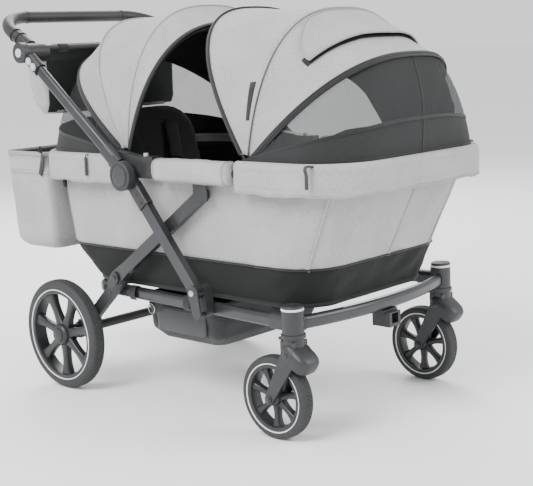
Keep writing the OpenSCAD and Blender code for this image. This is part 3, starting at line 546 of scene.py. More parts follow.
# %% Finish the frame's own parts
FINISH = {
    SLATE: "side_tubes rear_tube front_tube front_links rear_links front_rail rear_rail handle_tubes",
    SLATE_PLASTIC: "caster_housings axle_brackets rear_legs fork_left fork_right",
    BLACK_PLASTIC: "adjusters tow_socket link_feet link_guides hub_joints crossbar brake_levers floor_board rear_axle",
    DARK_STEEL: "frame_screws",
    PALE_PLASTIC: "adjuster_button_left adjuster_button_right fold_buttons caster_buttons",
    # The reflective_strip part carries a painted highlight: its near-white colour is the shine along the tube's top.
    PAINTED_HIGHLIGHT: "reflective_strip",
    LEATHERETTE: "grip_bar",
    BOW_STEEL: "fixed_bows front_bow_mid front_bow_edge rear_bow_mid rear_bow_edge",
}
for finish, names in FINISH.items():
    for name in names.split():
        slots = frame["nodes"][name].data.materials
        slots.clear()
        slots.append(finish)
print("finished", sum(len(v.split()) for v in FINISH.values()), "CAD parts")

# %% [markdown]
# ## The tub
# The real tub is a bag of heathered cloth hung from the rail, with a dark lower band round the
# floor. It could be draped, but it is held tight between rail and floor, so its shape is known:
# a rounded outline at three heights, joined smoothly. Small ripples run down from the rail, and
# stronger ones gather in the corners, where the cloth has more to do.

# %% Tub outline
def outline(front, rear, half, turn, straight=14, corner=12):
    """Rounded rectangle as 8 runs. Inputs are (nz, 1) arrays; the result is (nz, points, 2)."""
    q = np.linspace(0, np.pi / 2, corner, endpoint=False)
    runs = []
    centres = [(front - turn, half - turn), (rear + turn, half - turn), (rear + turn, turn - half), (front - turn, turn - half)]
    for k in range(4):
        cx, cy = centres[k]
        nx, ny = centres[(k + 1) % 4]
        a = q + k * np.pi / 2
        runs.append(np.stack([cx + turn * np.cos(a), cy + turn * np.sin(a)], -1))
        end = (k + 1) * np.pi / 2
        ex, ey = cx + turn * np.cos(end), cy + turn * np.sin(end)
        fx, fy = nx + turn * np.cos(end), ny + turn * np.sin(end)
        t = np.linspace(0, 1, straight, endpoint=False)
        runs.append(np.stack([ex + (fx - ex) * t, ey + (fy - ey) * t], -1))
    return np.concatenate(runs, 1)


def tub_wall(heights, inset=0.0, wave=0.0018, seed=3, bulge=0.0):
    """Grid over (height, outline), the outline's sizes read between the three levels."""
    z = np.asarray(heights)
    front, rear, half, turn = (np.interp(z, TUB[:, 0], TUB[:, k])[:, None] for k in (1, 2, 3, 4))
    flat = outline(front - inset, rear + inset, half - inset, turn - inset * 0.6, 22, 16)
    ahead = unit(np.roll(flat, -1, 1) - np.roll(flat, 1, 1))
    out = np.stack([ahead[..., 1], -ahead[..., 0]], -1)
    walk = np.broadcast_to(np.arange(flat.shape[1]) / flat.shape[1], flat.shape[:2])
    depth = np.broadcast_to(((z - z[0]) / (z[-1] - z[0]))[:, None], flat.shape[:2])
    fold = ripple(walk * 26, depth * 1.3, seed) + 0.7 * ripple(walk * 60, depth * 0.8, seed + 1)
    move = wave * fold * (0.35 + 0.65 * np.sin(np.pi * depth)) + bulge * np.sin(np.pi * depth)
    flat = flat + out * move[..., None]
    return np.concatenate([flat, np.broadcast_to(z[:, None, None], (*flat.shape[:2], 1))], -1)


def on_tub(piece):
    """A tub piece keeps its place: its transform is baked into its mesh."""
    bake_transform(piece)
    return piece


upper = tub_wall(np.linspace(0.383, 0.586, 30))
wall = surface("tub_wall", upper, HEATHER, wrap_v=True, thick=0.002)
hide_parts("tub_upper")
declare_sheet(upper)
on_tub(wall)
lower = tub_wall(np.linspace(0.291, 0.386, 18), wave=0.0028, seed=8, bulge=0.002)
band = surface("tub_band", lower, BAND, wrap_v=True, thick=0.002)
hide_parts("tub_lower")
declare_sheet(lower)
on_tub(band)
inner = tub_wall(np.linspace(0.298, 0.602, 26), inset=0.012, wave=0.002, seed=21)
liner = surface("tub_liner", inner, LINER, wrap_v=True, thick=0.001)
declare_sheet(inner)
on_tub(liner)
print("tub points", upper.shape, lower.shape)

# %% [markdown]
# The wall is sewn from panels. A flat-felled seam runs up at each panel's edge with a row of
# stitches on both sides, and a corded seam joins the wall to the band.

# %% Tub seams
SEAM_AT = {"front_left": 0.02, "nose_left": 0.94, "front_right": 0.80, "rear_left": 0.335, "rear_right": 0.565}


def tub_column(place):
    """The wall's points at one fraction of the way round, with the outward directions."""
    k = int(place * upper.shape[1]) % upper.shape[1]
    step = unit(upper[:, (k + 1) % upper.shape[1]] - upper[:, k - 1])
    return upper[:, k], np.stack([step[:, 1], -step[:, 0], 0 * step[:, 0]], -1)


for name, place in SEAM_AT.items():
    line, out = tub_column(place)
    raised_line = line + out * 0.0008
    on_tub(swept(f"tub_seam_{name}", raised_line, soft_box(0.011, 0.0018, 3, 10), out, HEATHER))
    across = unit(np.cross(np.gradient(line, axis=0), out))
    for side, gap in (("a", -0.0038), ("b", 0.0038)):
        on_tub(stitches(f"tub_stitch_{name}_{side}", raised_line + across * gap + out * 0.0008, out, DARK_THREAD))
cord = lower[-1] + np.array([0, 0, 0.0])
outward = unit(cord - cord.mean(0)) * np.array([1, 1, 0])
on_tub(swept("tub_band_piping", cord + outward * 0.001, ring(0.0028, 8), np.array([0, 0, 1.0]), BINDING, closed=True))
on_tub(stitches("tub_band_stitches", cord + outward * 0.0022 + np.array([0, 0, 0.006]), outward, DARK_THREAD))
hem = lower[1]
on_tub(swept("tub_hem", hem + outward * 0.0005, soft_box(0.006, 0.010, 4, 12), np.array([0, 0, 1.0]), BINDING, closed=True))
print("tub seams", len(SEAM_AT))

# %% [markdown]
# ## The rim covers
# A padded flap folds over the rail: up its outer side, over the top and down inside. Its lower
# edge is cut in shallow waves and topstitched. It is one profile carried along the U of the
# rail, and only the profile's lowest points follow the wave.

# %% Flap over the rail
def rail_run(start, nose, n=150):
    """The rail's centre line from one side round its nose to the other, and outward directions."""
    way = np.sign(nose - start)
    turn_x, half = nose - way * RAIL_TURN, RAIL_Y - RAIL_TURN
    side, arc, end = abs(turn_x - start), RAIL_TURN * np.pi / 2, 2 * half
    s = np.linspace(0, 2 * side + 2 * arc + end, n)
    a = np.clip((s - side) / arc, 0, 1) * np.pi / 2
    b = np.clip((s - side - arc - end) / arc, 0, 1) * np.pi / 2
    angle = a + b
    first, last = np.clip(s, 0, side), np.clip(s - side - 2 * arc - end, 0, side)
    across = np.clip(s - side - arc, 0, end)
    x = start + way * (first - last) + way * RAIL_TURN * (np.sin(a) + np.cos(b) - 1)
    y = -(half + RAIL_TURN * np.cos(a)) + across + RAIL_TURN * np.sin(b)
    out = np.stack([way * np.sin(angle), -np.cos(angle), 0 * angle], -1)
    return np.stack([x, y, np.full(n, RAIL_Z)], -1), out, s


def flap(start, nose, n=190):
    """Grid over (run, profile): outer fall with a waved edge, a half round over the rail, inner fall."""
    line, out, s = rail_run(start, nose, n)
    wave = 0.0018 * np.sin(TAU * s / 0.155) + 0.0009 * np.sin(TAU * s / 0.061 + 1) + 0.0006 * np.sin(TAU * s / 0.027)
    q = np.linspace(0, 1, 34)
    fall, over, inside = np.clip(q / 0.55, 0, 1), np.clip((q - 0.55) / 0.3, 0, 1), np.clip((q - 0.85) / 0.15, 0, 1)
    low = -0.040 + wave[:, None]
    z = low + (0.017 - low) * fall[None] + 0.0135 * np.sin(over * np.pi)[None] - 0.012 * inside[None]
    r = 0.0139 - 0.0265 * (1 - np.cos(over * np.pi)) / 2 + 0 * z
    flare = 0.0016 * ripple(s[:, None] * 9, q[None] * 1.5, 12) * (1 - fall)[None]
    r = r + np.clip(flare, -0.0012, 0.003) + 0.001 * np.sin(fall * np.pi)[None]
    P = line[:, None] + out[:, None] * r[..., None]
    P[..., 2] = RAIL_Z + z
    return P, out, s


FLAPS = {"front": (MIDDLE + 0.263, NOSE_FRONT), "rear": (MIDDLE - 0.160, NOSE_REAR)}
for name, (start, nose) in FLAPS.items():
    P, out, s = flap(start, nose)
    piece = surface(f"rim_flap_{name}", P, HEATHER, "upper_frame", thick=0.0015)
    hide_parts(f"rim_cover_{name}")
    declare_sheet(P)
    edge = P[:, 0] + np.array([0, 0, 0.001])
    swept(f"rim_binding_{name}", edge, soft_box(0.003, 0.006, 3, 10), np.array([0, 0, 1.0]), GREY_BINDING, "upper_frame")
    stitches(f"rim_stitch_{name}", P[:, 5] + out * 0.0008, out, LIGHT_THREAD, "upper_frame")
    stitches(f"rim_top_stitch_{name}", P[:, 17] + out * 0.0006, out, LIGHT_THREAD, "upper_frame")
print("flaps", list(FLAPS))

# %% [markdown]
# ## Padding: a mesh blown up a little
# Seat pads and backs are foam in a sewn cover. A rounded block is remeshed, then Cloth inflates
# it for twenty frames with gravity off. Every point may move only a few millimetres, so the pad
# keeps its size but its faces crown and its edges soften, as stuffed covers do.

# %% Pads and the puffing step
def block(low, high, power=8.0, n=40):
    """A closed rounded block: |x|^p + |y|^p + |z|^p = 1 over angles, scaled to the box."""
    low, high = np.asarray(low, float), np.asarray(high, float)
    a = np.linspace(-np.pi / 2, np.pi / 2, n)[:, None]
    b = (np.arange(2 * n) / (2 * n) * TAU)[None]
    d = np.stack([np.cos(a) * np.cos(b), np.cos(a) * np.sin(b), np.sin(a) + 0 * b], -1)
    reach = (np.abs(d) ** power).sum(-1, keepdims=True) ** (-1 / power)
    return (low + high) / 2 + d * reach * (high - low) / 2


def puff(piece, cap, voxel=0.006, pressure=4.0):
    """Remesh, inflate with Cloth, pull back any point that went further than cap, apply."""
    scene = bpy.context.scene
    bpy.context.view_layer.objects.active = piece
    remesh = piece.modifiers.new("Remesh", "REMESH")
    remesh.mode, remesh.voxel_size = "VOXEL", voxel
    bpy.context.view_layer.update()
    solid = bpy.data.meshes.new_from_object(piece.evaluated_get(bpy.context.evaluated_depsgraph_get()))
    piece.modifiers.clear()
    finish = piece.data.materials[0]
    piece.data = solid
    if not piece.data.materials:
        piece.data.materials.append(finish)
    start = np.zeros(len(solid.vertices) * 3)
    solid.vertices.foreach_get("co", start)
    sim = piece.modifiers.new("Cloth", "CLOTH")
    sim.settings.use_pressure = True
    sim.settings.uniform_pressure_force = pressure
    sim.settings.effector_weights.gravity = 0.0
    sim.settings.quality = 5
    for f in range(1, 21):
        scene.frame_set(f)
    blown = bpy.data.meshes.new_from_object(piece.evaluated_get(bpy.context.evaluated_depsgraph_get()))
    scene.frame_set(1)
    piece.modifiers.clear()
    end = np.zeros(len(blown.vertices) * 3)
    blown.vertices.foreach_get("co", end)
    move = (end - start).reshape(-1, 3)
    far = np.linalg.norm(move, axis=1, keepdims=True)
    move *= np.minimum(1, cap / np.maximum(far, 1e-9))
    solid.vertices.foreach_set("co", (start.reshape(-1, 3) + move).ravel())
    solid.update()
    solid.shade_smooth()
    bpy.data.meshes.remove(blown)
    piece.modifiers.new("Smooth", "SUBSURF").levels = 1
    piece.modifiers["Smooth"].render_levels = 1
    print("puffed", piece.name, len(solid.vertices), "points, most", round(float(far.max()) * 1000, 1), "mm")
    return piece


SEAT_PADS = {"rear": (MIDDLE - 0.334, MIDDLE - 0.110), "front": (MIDDLE + 0.140, MIDDLE + 0.364)}
for name, (x0, x1) in SEAT_PADS.items():
    P = block((x0, -0.200, 0.309), (x1, 0.200, 0.402))
    pad = surface(f"seat_cushion_{name}", P, SEAT, wrap_v=True, sharp=180)
    puff(pad, 0.006)
    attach(pad, "chassis")
    edge = outline(np.array([[x1 - 0.0035]]), np.array([[x0 + 0.0035]]), np.array([[0.1985]]), np.array([[0.022]]))[0]
    rim = np.concatenate([edge, np.full((len(edge), 1), 0.394)], 1)
    swept(f"seat_piping_{name}", rim, ring(0.0032, 8), np.array([0, 0, 1.0]), BINDING, "chassis", closed=True)
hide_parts("seat_cushions")

# %% [markdown]
# ## Seat backs and harness
# Each back is a padded board that leans a little away from its seat, with three stitched
# channels. A harness of flat webbing comes through it at the shoulders and meets at a buckle
# above the seat. Straps are swept directly: a remesh would lose them.

# %% Backs, straps and buckles
def seat_back(name, hinge, lean, way, length, body):
    """A pad of that length standing on the hinge, its top leaned back by lean degrees."""
    up = np.array([-way * math.sin(math.radians(lean)), 0, math.cos(math.radians(lean))])
    face = np.array([way * math.cos(math.radians(lean)), 0, math.sin(math.radians(lean))])
    across = np.array([0, 1.0, 0])
    P = block((-0.0115, -0.184, -0.004), (0.0115, 0.184, length - 0.004), 5.0)
    crown = 1 - 0.10 * blend_in(P[..., 2], length - 0.09, length)
    P[..., 1] *= crown
    placed = hinge + P[..., :1] * face + P[..., 1:2] * across + P[..., 2:] * up
    pad = surface(name, placed, SEAT, wrap_v=True, sharp=180)
    puff(pad, 0.005)
    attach(pad, body)
    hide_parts(name.replace("back_pad", "seat_back"))
    front = hinge + face * 0.0185
    for k, y in enumerate((-0.075, 0.075)):
        top = front + up * (length - 0.060) + across * y
        bottom = front + up * 0.055 + across * y * 0.45
        line = path([top - face * 0.008, top + face * 0.003, (top + bottom) / 2 + face * 0.012 + across * y * 0.1, bottom + face * 0.02], 40)
        swept(f"{name}_strap_{k}", line, soft_box(0.026, 0.0024, 4, 12), face, WEBBING, body)
        slider = line[14]
        P2 = block((-0.017, -0.013, -0.0035), (0.017, 0.013, 0.0035), 6.0, 12)
        placed2 = slider + P2[..., :1] * across + P2[..., 1:2] * up + P2[..., 2:] * face
        surface(f"{name}_slider_{k}", placed2, BLACK_PLASTIC, body, wrap_v=True)
        pad_line = line[4:22]
        swept(f"{name}_shoulder_pad_{k}", pad_line + face * 0.004, soft_box(0.044, 0.010, 3, 16), face, SEAT, body)
    P3 = block((-0.020, -0.024, -0.007), (0.020, 0.024, 0.007), 4.0, 14)
    buckle = front + up * 0.050 + face * 0.024
    placed3 = buckle + P3[..., :1] * across + P3[..., 1:2] * up + P3[..., 2:] * face
    surface(f"{name}_buckle", placed3, BLACK_PLASTIC, body, wrap_v=True)
    swept(f"{name}_lap_strap", path([front + across * -0.17 + up * 0.03, buckle - face * 0.003, front + across * 0.17 + up * 0.03], 40),
          soft_box(0.024, 0.0024, 4, 12), face, WEBBING, body)


seat_back("back_pad_rear", REAR_SEAT_HINGE, 14, 1, 0.318, "seat_back_rear")
seat_back("back_pad_front", FRONT_SEAT_HINGE, 14, -1, 0.280, "seat_back_front")
print("seat backs done")

# %% [markdown]
# ## The canopies
# Each canopy is cloth held tight over sprung bows that turn about one pivot. A bow is a
# superellipse in its own plane, and the cloth between two bows is a ruled surface, drawn in a
# few millimetres between them.

# %% Bow curves and panels
def bow(pivot, angle, radius, half, n=81):
    """Points (R sin^(2/p) t, W cos^(2/p) t) of a superellipse, its plane turned up by the angle."""
    t = np.linspace(0.03, np.pi - 0.03, n)
    c = np.cos(t)
    out = radius * np.sin(t) ** (2 / BOW_ROUND)
    y = -half * np.sign(c) * np.abs(c) ** (2 / BOW_ROUND)
    a = math.radians(angle)
    return even(np.asarray(pivot) + np.stack([out * math.cos(a), y, out * math.sin(a)], -1), n)


def panel(pivot, bows, half, rows=26, sag=0.005, wave=0.0012, seed=1, stand=0.0):
    """Ruled grid over (row, bow point) through the bows, drawn in by sag between each two."""
    curves = [bow(pivot, a, r + stand, half + stand) for a, r in bows]
    parts = []
    for k in range(len(curves) - 1):
        t = np.linspace(0, 1, rows, endpoint=(k == len(curves) - 2))[:, None, None]
        flat = curves[k][None] * (1 - t) + curves[k + 1][None] * t
        inward = unit(np.asarray(pivot) - flat)
        centre = np.sin(np.linspace(0, np.pi, flat.shape[1]))[None, :, None] ** 0.5
        v = np.linspace(0, 1, flat.shape[1])[None]
        fold = ripple(v * 9, t[..., 0] * 1.4, seed + k) + 0.6 * ripple(v * 24, t[..., 0] * 0.7, seed + 9 + k)
        held = np.sin(np.pi * t)
        parts.append(flat + inward * centre * held * (sag + wave * fold[..., None]))
    return np.concatenate(parts)


def outward_of(line, pivot):
    """Directions away from the pivot axis, leaning out sideways near the feet."""
    d = line - np.asarray(pivot)
    return unit(d * np.array([1, 1.1, 1]))


CANOPIES = {
    "front": (FRONT_PIVOT, FRONT_BOWS, "fixed mid edge".split(), 1),
    "rear": (REAR_PIVOT, REAR_BOWS, "fixed mid seam edge".split(), -1),
}
HALF_LOW, HALF_HIGH = BOW_HALF - 0.0022, BOW_HALF + 0.0014


def on_panel(piece):
    """A canopy piece keeps its place: its transform is baked into its mesh."""
    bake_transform(piece)
    return piece


PANELS = {}
for end, (pivot, bows, _, way) in CANOPIES.items():
    low = panel(pivot, [bows["fixed"], bows["mid"]], HALF_LOW, 24, 0.004, 0.0011, 31, 0.0012)
    top = [bows[k] for k in (["mid", "edge"] if end == "front" else ["mid", "seam", "edge"])]
    high = panel(pivot, top, HALF_HIGH, 26, 0.006, 0.0014, 47, 0.0012)
    for part, P in (("low", low), ("high", high)):
        piece = surface(f"{end}_canopy_{part}", P, HEATHER, thick=0.0012)
        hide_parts(f"{end}_panel_{part}")
        declare_sheet(P)
        on_panel(piece)
        lining = surface(f"{end}_canopy_lining_{part}", P + unit(pivot - P) * 0.0032, LINER, thick=0.0006)
        declare_sheet(P)
        on_panel(lining)
        PANELS[end, part] = P
print("canopy panels", {k: v.shape for k, v in PANELS.items()})

# %% [markdown]
# The panels meet at corded seams over the bows. The opening's edge and the edge over the mesh
# end are bound in black, and a zip joins the canopy to its mesh end, its teeth showing.

# %% Seams, bindings and zips
for end, (pivot, bows, _, way) in CANOPIES.items():
    high, low = PANELS[end, "high"], PANELS[end, "low"]
    edge, seam, fixed = high[-1], high[0], low[0]
    body_edge, body_mid = f"{end}_canopy_edge", f"{end}_canopy_mid"
    out = outward_of(edge, pivot)
    swept(f"{end}_opening_binding", edge + out * 0.0006, soft_box(0.012, 0.0042, 3, 12), out, BINDING, body_edge)
    stitches(f"{end}_opening_stitch", high[-2] + out * 0.0012, out, LIGHT_THREAD, body_edge)
    out = outward_of(seam, pivot)
    swept(f"{end}_bow_seam", seam + out * 0.0012, ring(0.0026, 8), out, HEATHER, body_mid)
    for k, row in (("a", high[1]), ("b", low[-2])):
        stitches(f"{end}_bow_stitch_{k}", row + out * 0.0012, out, DARK_THREAD, body_mid)
    if end == "rear":
        second = high[26]
        out2 = outward_of(second, pivot)
        swept("rear_second_seam", second + out2 * 0.0008, ring(0.0022, 8), out2, HEATHER, body_edge)
    out = outward_of(fixed, pivot)
    swept(f"{end}_zip_tape", fixed + out * 0.0004, soft_box(0.016, 0.0024, 3, 12), out, BINDING, "upper_frame")
    teeth = even(fixed + out * 0.0018, 330)
    tangent, lean = unit(np.gradient(teeth, axis=0)), outward_of(teeth, pivot)
    side = unit(np.cross(tangent, lean))
    stamped(f"{end}_zip_teeth", LOZENGE, LOZENGE_FACES, teeth, tangent * 0.0022, side * 0.0042, lean * 0.0022,
            BLACK_PLASTIC, "upper_frame")
    stitches(f"{end}_zip_stitch", low[1] + out * 0.0012, out, LIGHT_THREAD, "upper_frame")
print("seams and zips done")

# %% [markdown]
# ## Mesh ends
# Below the zip each canopy is closed by a net window over a dark lower band. The band starts on
# the rail's own U and the net ends on the zipped bow, so the surface is a blend of two curves
# that bulges outwards a little between them. The net's holes are cut by its material.

# %% Net windows and their bands
MESH_IN = 0.0125


def mesh_end(end, start, nose, rows=36, bulge=0.016, inset=0.006):
    """(1 - t) * rail curve + t * bow curve + bulge * sin(pi t) outwards; t runs up from the rail."""
    pivot, bows, _, _ = CANOPIES[end]
    line, out, s = rail_run(start, nose, 240)
    foot = even(line + np.array([0, 0, 0.0305]) - out * inset, 81)
    top = bow(pivot, *bows["fixed"], BOW_HALF - MESH_IN)
    t = np.linspace(0, 1, rows)[:, None, None]
    P = foot[None] * (1 - t) + top[None] * t
    away = unit(P - pivot)
    v = np.linspace(0, 1, 81)[None]
    fold = 0.0012 * ripple(v * 10, t[..., 0], 71) * np.sin(np.pi * t[..., 0])
    centre = np.sin(np.linspace(0, np.pi, 81))[None, :, None] ** 0.6
    return P + away * centre * (bulge * np.sin(np.pi * t) + fold[..., None])


for end, start, nose, share, finish in (("front", FRONT_PIVOT[0], NOSE_FRONT, 0.34, FINE_NET), ("rear", REAR_PIVOT[0], NOSE_REAR, 0.30, OPEN_NET)):
    P = mesh_end(end, start, nose)
    k = int(round(share * 35))
    band_part, net_part = P[:k + 1], P[k:]
    pivot = CANOPIES[end][0]
    solid = surface(f"{end}_mesh_band", band_part, LINER, "upper_frame", thick=0.001)
    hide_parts(f"{end}_mesh")
    declare_sheet(band_part)
    window = surface(f"{end}_mesh_net", net_part, finish, "upper_frame")
    declare_sheet(net_part)
    for part, row, wide in (("binding", net_part[0], 0.008), ("hem", P[0], 0.010)):
        out = outward_of(row, pivot)
        swept(f"{end}_mesh_{part}", row + out * 0.0008, soft_box(wide, 0.002, 3, 10), out, BINDING, "upper_frame")
    middle = P[:, 40]
    out = outward_of(middle, pivot)
    swept(f"{end}_mesh_seam", middle + out * 0.0006, soft_box(0.006, 0.0016, 3, 8), out, BINDING, "upper_frame")

# %% [markdown]
# A dark sun drape hangs inside the front net, gathered to the middle, so the net is dark in the
# centre and clear to both sides. It is a narrower piece of the same surface, set a little inside.

# %% Inner drape
P = mesh_end("front", FRONT_PIVOT[0], NOSE_FRONT, bulge=0.012, inset=0.012)
rows, n = P.shape[:2]
share = np.linspace(0, 1, rows)[:, None]
left = 0.40 - 0.10 * share**1.5
right = 0.62 + 0.20 * share**1.5
u = (left + (right - left) * np.linspace(0, 1, 60)[None]) * (n - 1)
i0 = np.minimum(u.astype(int), n - 2)
f = (u - i0)[..., None]
r = np.arange(rows)[:, None]
drape = P[r, i0] * (1 - f) + P[r, i0 + 1] * f
pleat = 0.004 * np.sin(np.linspace(0, 9 * np.pi, 60))[None, :, None] * (1.15 - share[..., None])
drape = (drape + unit(FRONT_PIVOT - drape) * (0.010 + pleat))[9:]
piece = surface("front_sun_drape", drape, LINER, "upper_frame", thick=0.0008)
declare_sheet(drape)
print("mesh ends done")

# %% [markdown]
# ## Roof flap, tag and rail pads
# The front roof has a peep window: a net slot with a cloth flap over it, bound all round. The
# rail between the canopies wears a piped pad each side, a stuffed tube that pinches at its ends.

# %% Peep window
def patch(P, rows, columns, stand, n=(14, 30)):
    """A piece of the grid P between two shares of its rows and columns, standing off by stand."""
    i, j = np.linspace(rows[0], rows[1], n[0]) * (len(P) - 1), np.linspace(columns[0], columns[1], n[1]) * (P.shape[1] - 1)
    i0, j0 = np.minimum(i.astype(int), len(P) - 2), np.minimum(j.astype(int), P.shape[1] - 2)
    fi, fj = (i - i0)[:, None, None], (j - j0)[None, :, None]
    a, b = P[i0][:, j0], P[i0 + 1][:, j0]
    c, d = P[i0][:, j0 + 1], P[i0 + 1][:, j0 + 1]
    Q = a * (1 - fi) * (1 - fj) + b * fi * (1 - fj) + c * (1 - fi) * fj + d * fi * fj
    out = unit(np.cross(np.gradient(Q, axis=0), np.gradient(Q, axis=1)))
    out *= np.sign((out * (Q - FRONT_PIVOT)).sum(-1, keepdims=True))
    return Q + out * stand, out


low = PANELS["front", "low"]


def window_patch(stand, grow=0.0, n=(24, 40)):
    """Rows and columns of the roof panel inside a D: sides curve in towards the back, front edge bows."""
    s, c = np.linspace(0, 1, n[0])[:, None], np.linspace(-1, 1, n[1])[None]
    half = (0.215 + grow) * (1 - 0.42 * s**2.6)
    row = 0.40 - grow + 0.06 * c**2 + (0.95 + grow - 0.40) * s * (1 - 0.10 * c**2)
    i, j = np.clip(row, 0, 0.995) * (len(low) - 1), (0.49 + half * c) * (low.shape[1] - 1) + 0 * s
    i0, j0 = i.astype(int), j.astype(int)
    fi, fj = (i - i0)[..., None], (j - j0)[..., None]
    Q = (low[i0, j0] * (1 - fi) * (1 - fj) + low[i0 + 1, j0] * fi * (1 - fj)
         + low[i0, j0 + 1] * (1 - fi) * fj + low[i0 + 1, j0 + 1] * fi * fj)
    out = unit(np.cross(np.gradient(Q, axis=0), np.gradient(Q, axis=1)))
    out *= np.sign((out * (Q - FRONT_PIVOT)).sum(-1, keepdims=True))
    return Q + out * stand, out


under, out = window_patch(0.0022, 0.012)
piece = surface("peep_net", under[:7], FINE_NET)
declare_sheet(under[:7])
on_panel(piece)
backing, out = window_patch(0.0016, 0.012)
piece = surface("peep_dark", backing[:7], LINER, thick=0.0005)
declare_sheet(backing[:7])
on_panel(piece)
cover, out = window_patch(0.0040)
lift = np.linspace(1, 0, len(cover))[:, None, None] ** 2 * np.cos(np.linspace(-0.5, 1.2, cover.shape[1]))[None, :, None]
cover = cover + out * 0.008 * lift
piece = surface("peep_flap", cover, HEATHER, thick=0.0016)
declare_sheet(cover)
on_panel(piece)
round_edge = np.concatenate([cover[0], cover[1:, -1], cover[-1, ::-1][1:], cover[::-1, 0][1:-1]])
on_panel(swept("peep_binding", round_edge, soft_box(0.005, 0.004, 3, 8), np.array([0.2, 0.1, 1.0]), GREY_BINDING, closed=True))
on_panel(stitches("peep_stitch", cover[2] + out[2] * 0.0006, out[2], DARK_THREAD))
tag, out = patch(PANELS["front", "high"], (0.10, 0.22), (0.08, 0.17), 0.0020, (8, 6))
piece = surface("plain_tag", tag, BINDING, thick=0.0012)
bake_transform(piece)
print("peep window", cover.shape)

# %% Rail pads
def rail_pad(side):
    """Superellipse rings along X; size (1 - |2u - 1|^8)^(1/4) pinches the ends, small swells along it."""
    low_corner, high_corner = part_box("rail_pads")
    x = np.linspace(low_corner[0] + 0.002, high_corner[0] - 0.002, 60)
    u = np.linspace(-1, 1, 60)
    size = 0.80 + 0.20 * (1 - np.abs(u) ** 8) ** 0.25
    size *= 1 + 0.018 * np.sin(u * 9) + 0.012 * np.sin(u * 23 + 1)
    o = soft_box(0.0475, 0.0535, 3.2, 40)
    P = np.empty((60, 40, 3))
    P[..., 0] = x[:, None]
    P[..., 1] = side * (0.3013 + o[None, :, 0] * size[:, None])
    P[..., 2] = 0.603 + o[None, :, 1] * size[:, None] - 0.0015 * np.abs(u)[:, None]
    return P


for side, hand in ((1, "left"), (-1, "right")):
    P = rail_pad(side)
    pad = surface(f"rail_pad_{hand}", P, HEATHER, "upper_frame", wrap_v=True, caps=True, sharp=60)
    if side > 0:
        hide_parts("rail_pads")
    for k, row in (("front", 57), ("rear", 2)):
        swept(f"rail_pad_piping_{k}_{hand}", P[row], ring(0.0024, 8), np.array([1.0, 0, 0]), GREY_BINDING, "upper_frame", closed=True)
    swept(f"rail_pad_seam_{hand}", P[2:58, 30] + np.array([0, 0, -0.0008]), ring(0.0024, 8), np.array([0, 0, 1.0]), GREY_BINDING, "upper_frame")
    stitches(f"rail_pad_stitch_{hand}", P[3:57, 34], np.array([0, side, -0.4]) + 0 * P[3:57, 34], DARK_THREAD, "upper_frame")
print("rail pads done")

# %% [markdown]
# ## Bags
# The basket behind, the pouch on the crossbar and the bag under the floor are lofted: outlines
# at several heights, joined and closed below, with their walls sagging between the corners.

# %% Lofted bags
def bag(name, levels, finish, body, node=None, turn=0.03, sag=0.006, seed=5, rows=22, thick=0.0022, lean=None):
    """Rounded outlines (front, rear, half-width) read between levels of height; the floor is drawn in."""
    levels = np.asarray(levels, float)
    z = np.linspace(levels[-1, 0], levels[0, 0], rows)
    order = np.argsort(levels[:, 0])
    front, rear, half = (np.interp(z, levels[order, 0], levels[order, k])[:, None] for k in (1, 2, 3))
    flat = outline(front, rear, half, np.full_like(half, turn), 16, 8)
    centre = np.concatenate([(front + rear) / 2, 0 * half], 1)[:, None]
    depth = ((z - z[0]) / (z[-1] - z[0]))[:, None]
    walk = np.arange(flat.shape[1])[None] / flat.shape[1]
    out = unit(flat - centre)
    move = sag * np.sin(np.pi * depth) * (0.35 + 0.65 * ripple(walk * 9 + 0 * depth, depth * 1.2 + 0 * walk, seed))
    flat = flat - out * np.clip(move, -0.002, 0.02)[..., None]
    P = np.concatenate([flat, np.broadcast_to(z[:, None, None], (*flat.shape[:2], 1))], -1)
    shrink = np.linspace(0.02, 1, 9, endpoint=False)[:, None, None]
    floor = centre[0][None] + (P[0, :, :2] - centre[0])[None] * shrink
    droop = -0.006 * np.sin(np.pi / 2 * (1 - shrink[..., 0] ** 2)) + 0.0062
    bottom = np.concatenate([floor, (P[0, :, 2] + droop)[..., None]], -1)
    P = np.concatenate([bottom, P])
    piece = surface(name, P, finish, body, wrap_v=True, thick=thick)
    if node:
        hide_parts(node)
    top = P[-1]
    return piece, P, top


UP = np.array([0, 0, 1.0])
basket_low, basket_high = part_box("rear_basket")
bx0, bx1, by = basket_low[0], basket_high[0], basket_high[1]
basket_levels = [[basket_high[2] - 0.002, bx1 - 0.0015, bx0 + 0.001, by - 0.001], [0.510, bx1 - 0.002, bx0 + 0.003, by - 0.002],
                 [0.440, bx1 + 0.000, bx0 + 0.006, by - 0.004], [basket_low[2] + 0.022, bx1 + 0.0, bx0 + 0.010, by - 0.006], [basket_low[2] + 0.004, bx1 - 0.010, bx0 + 0.030, by - 0.022]]
basket, P, top = bag("rear_basket_bag", basket_levels, HEATHER, "upper_frame", "rear_basket", 0.022, 0.004, 5)
swept("basket_binding", top, soft_box(0.007, 0.012, 4, 12), UP, GREY_BINDING, "upper_frame", closed=True)
row = P[-5]
out = unit(row - row.mean(0))
swept("basket_seam", row + out * 0.0014, soft_box(0.006, 0.0016, 3, 8), out, HEATHER, "upper_frame", closed=True)
stitches("basket_stitch_high", P[-2] + out * 0.0010, out, DARK_THREAD, "upper_frame")
stitches("basket_stitch_low", row - UP * 0.006 + out * 0.0010, out, DARK_THREAD, "upper_frame")
dark = bag("basket_lining", [[z, f - 0.006, r + 0.006, h - 0.006] for z, f, r, h in basket_levels], LINER, "upper_frame", None, 0.020, 0.003, 6, thick=0.001)[0]
back = bx0 + 0.004
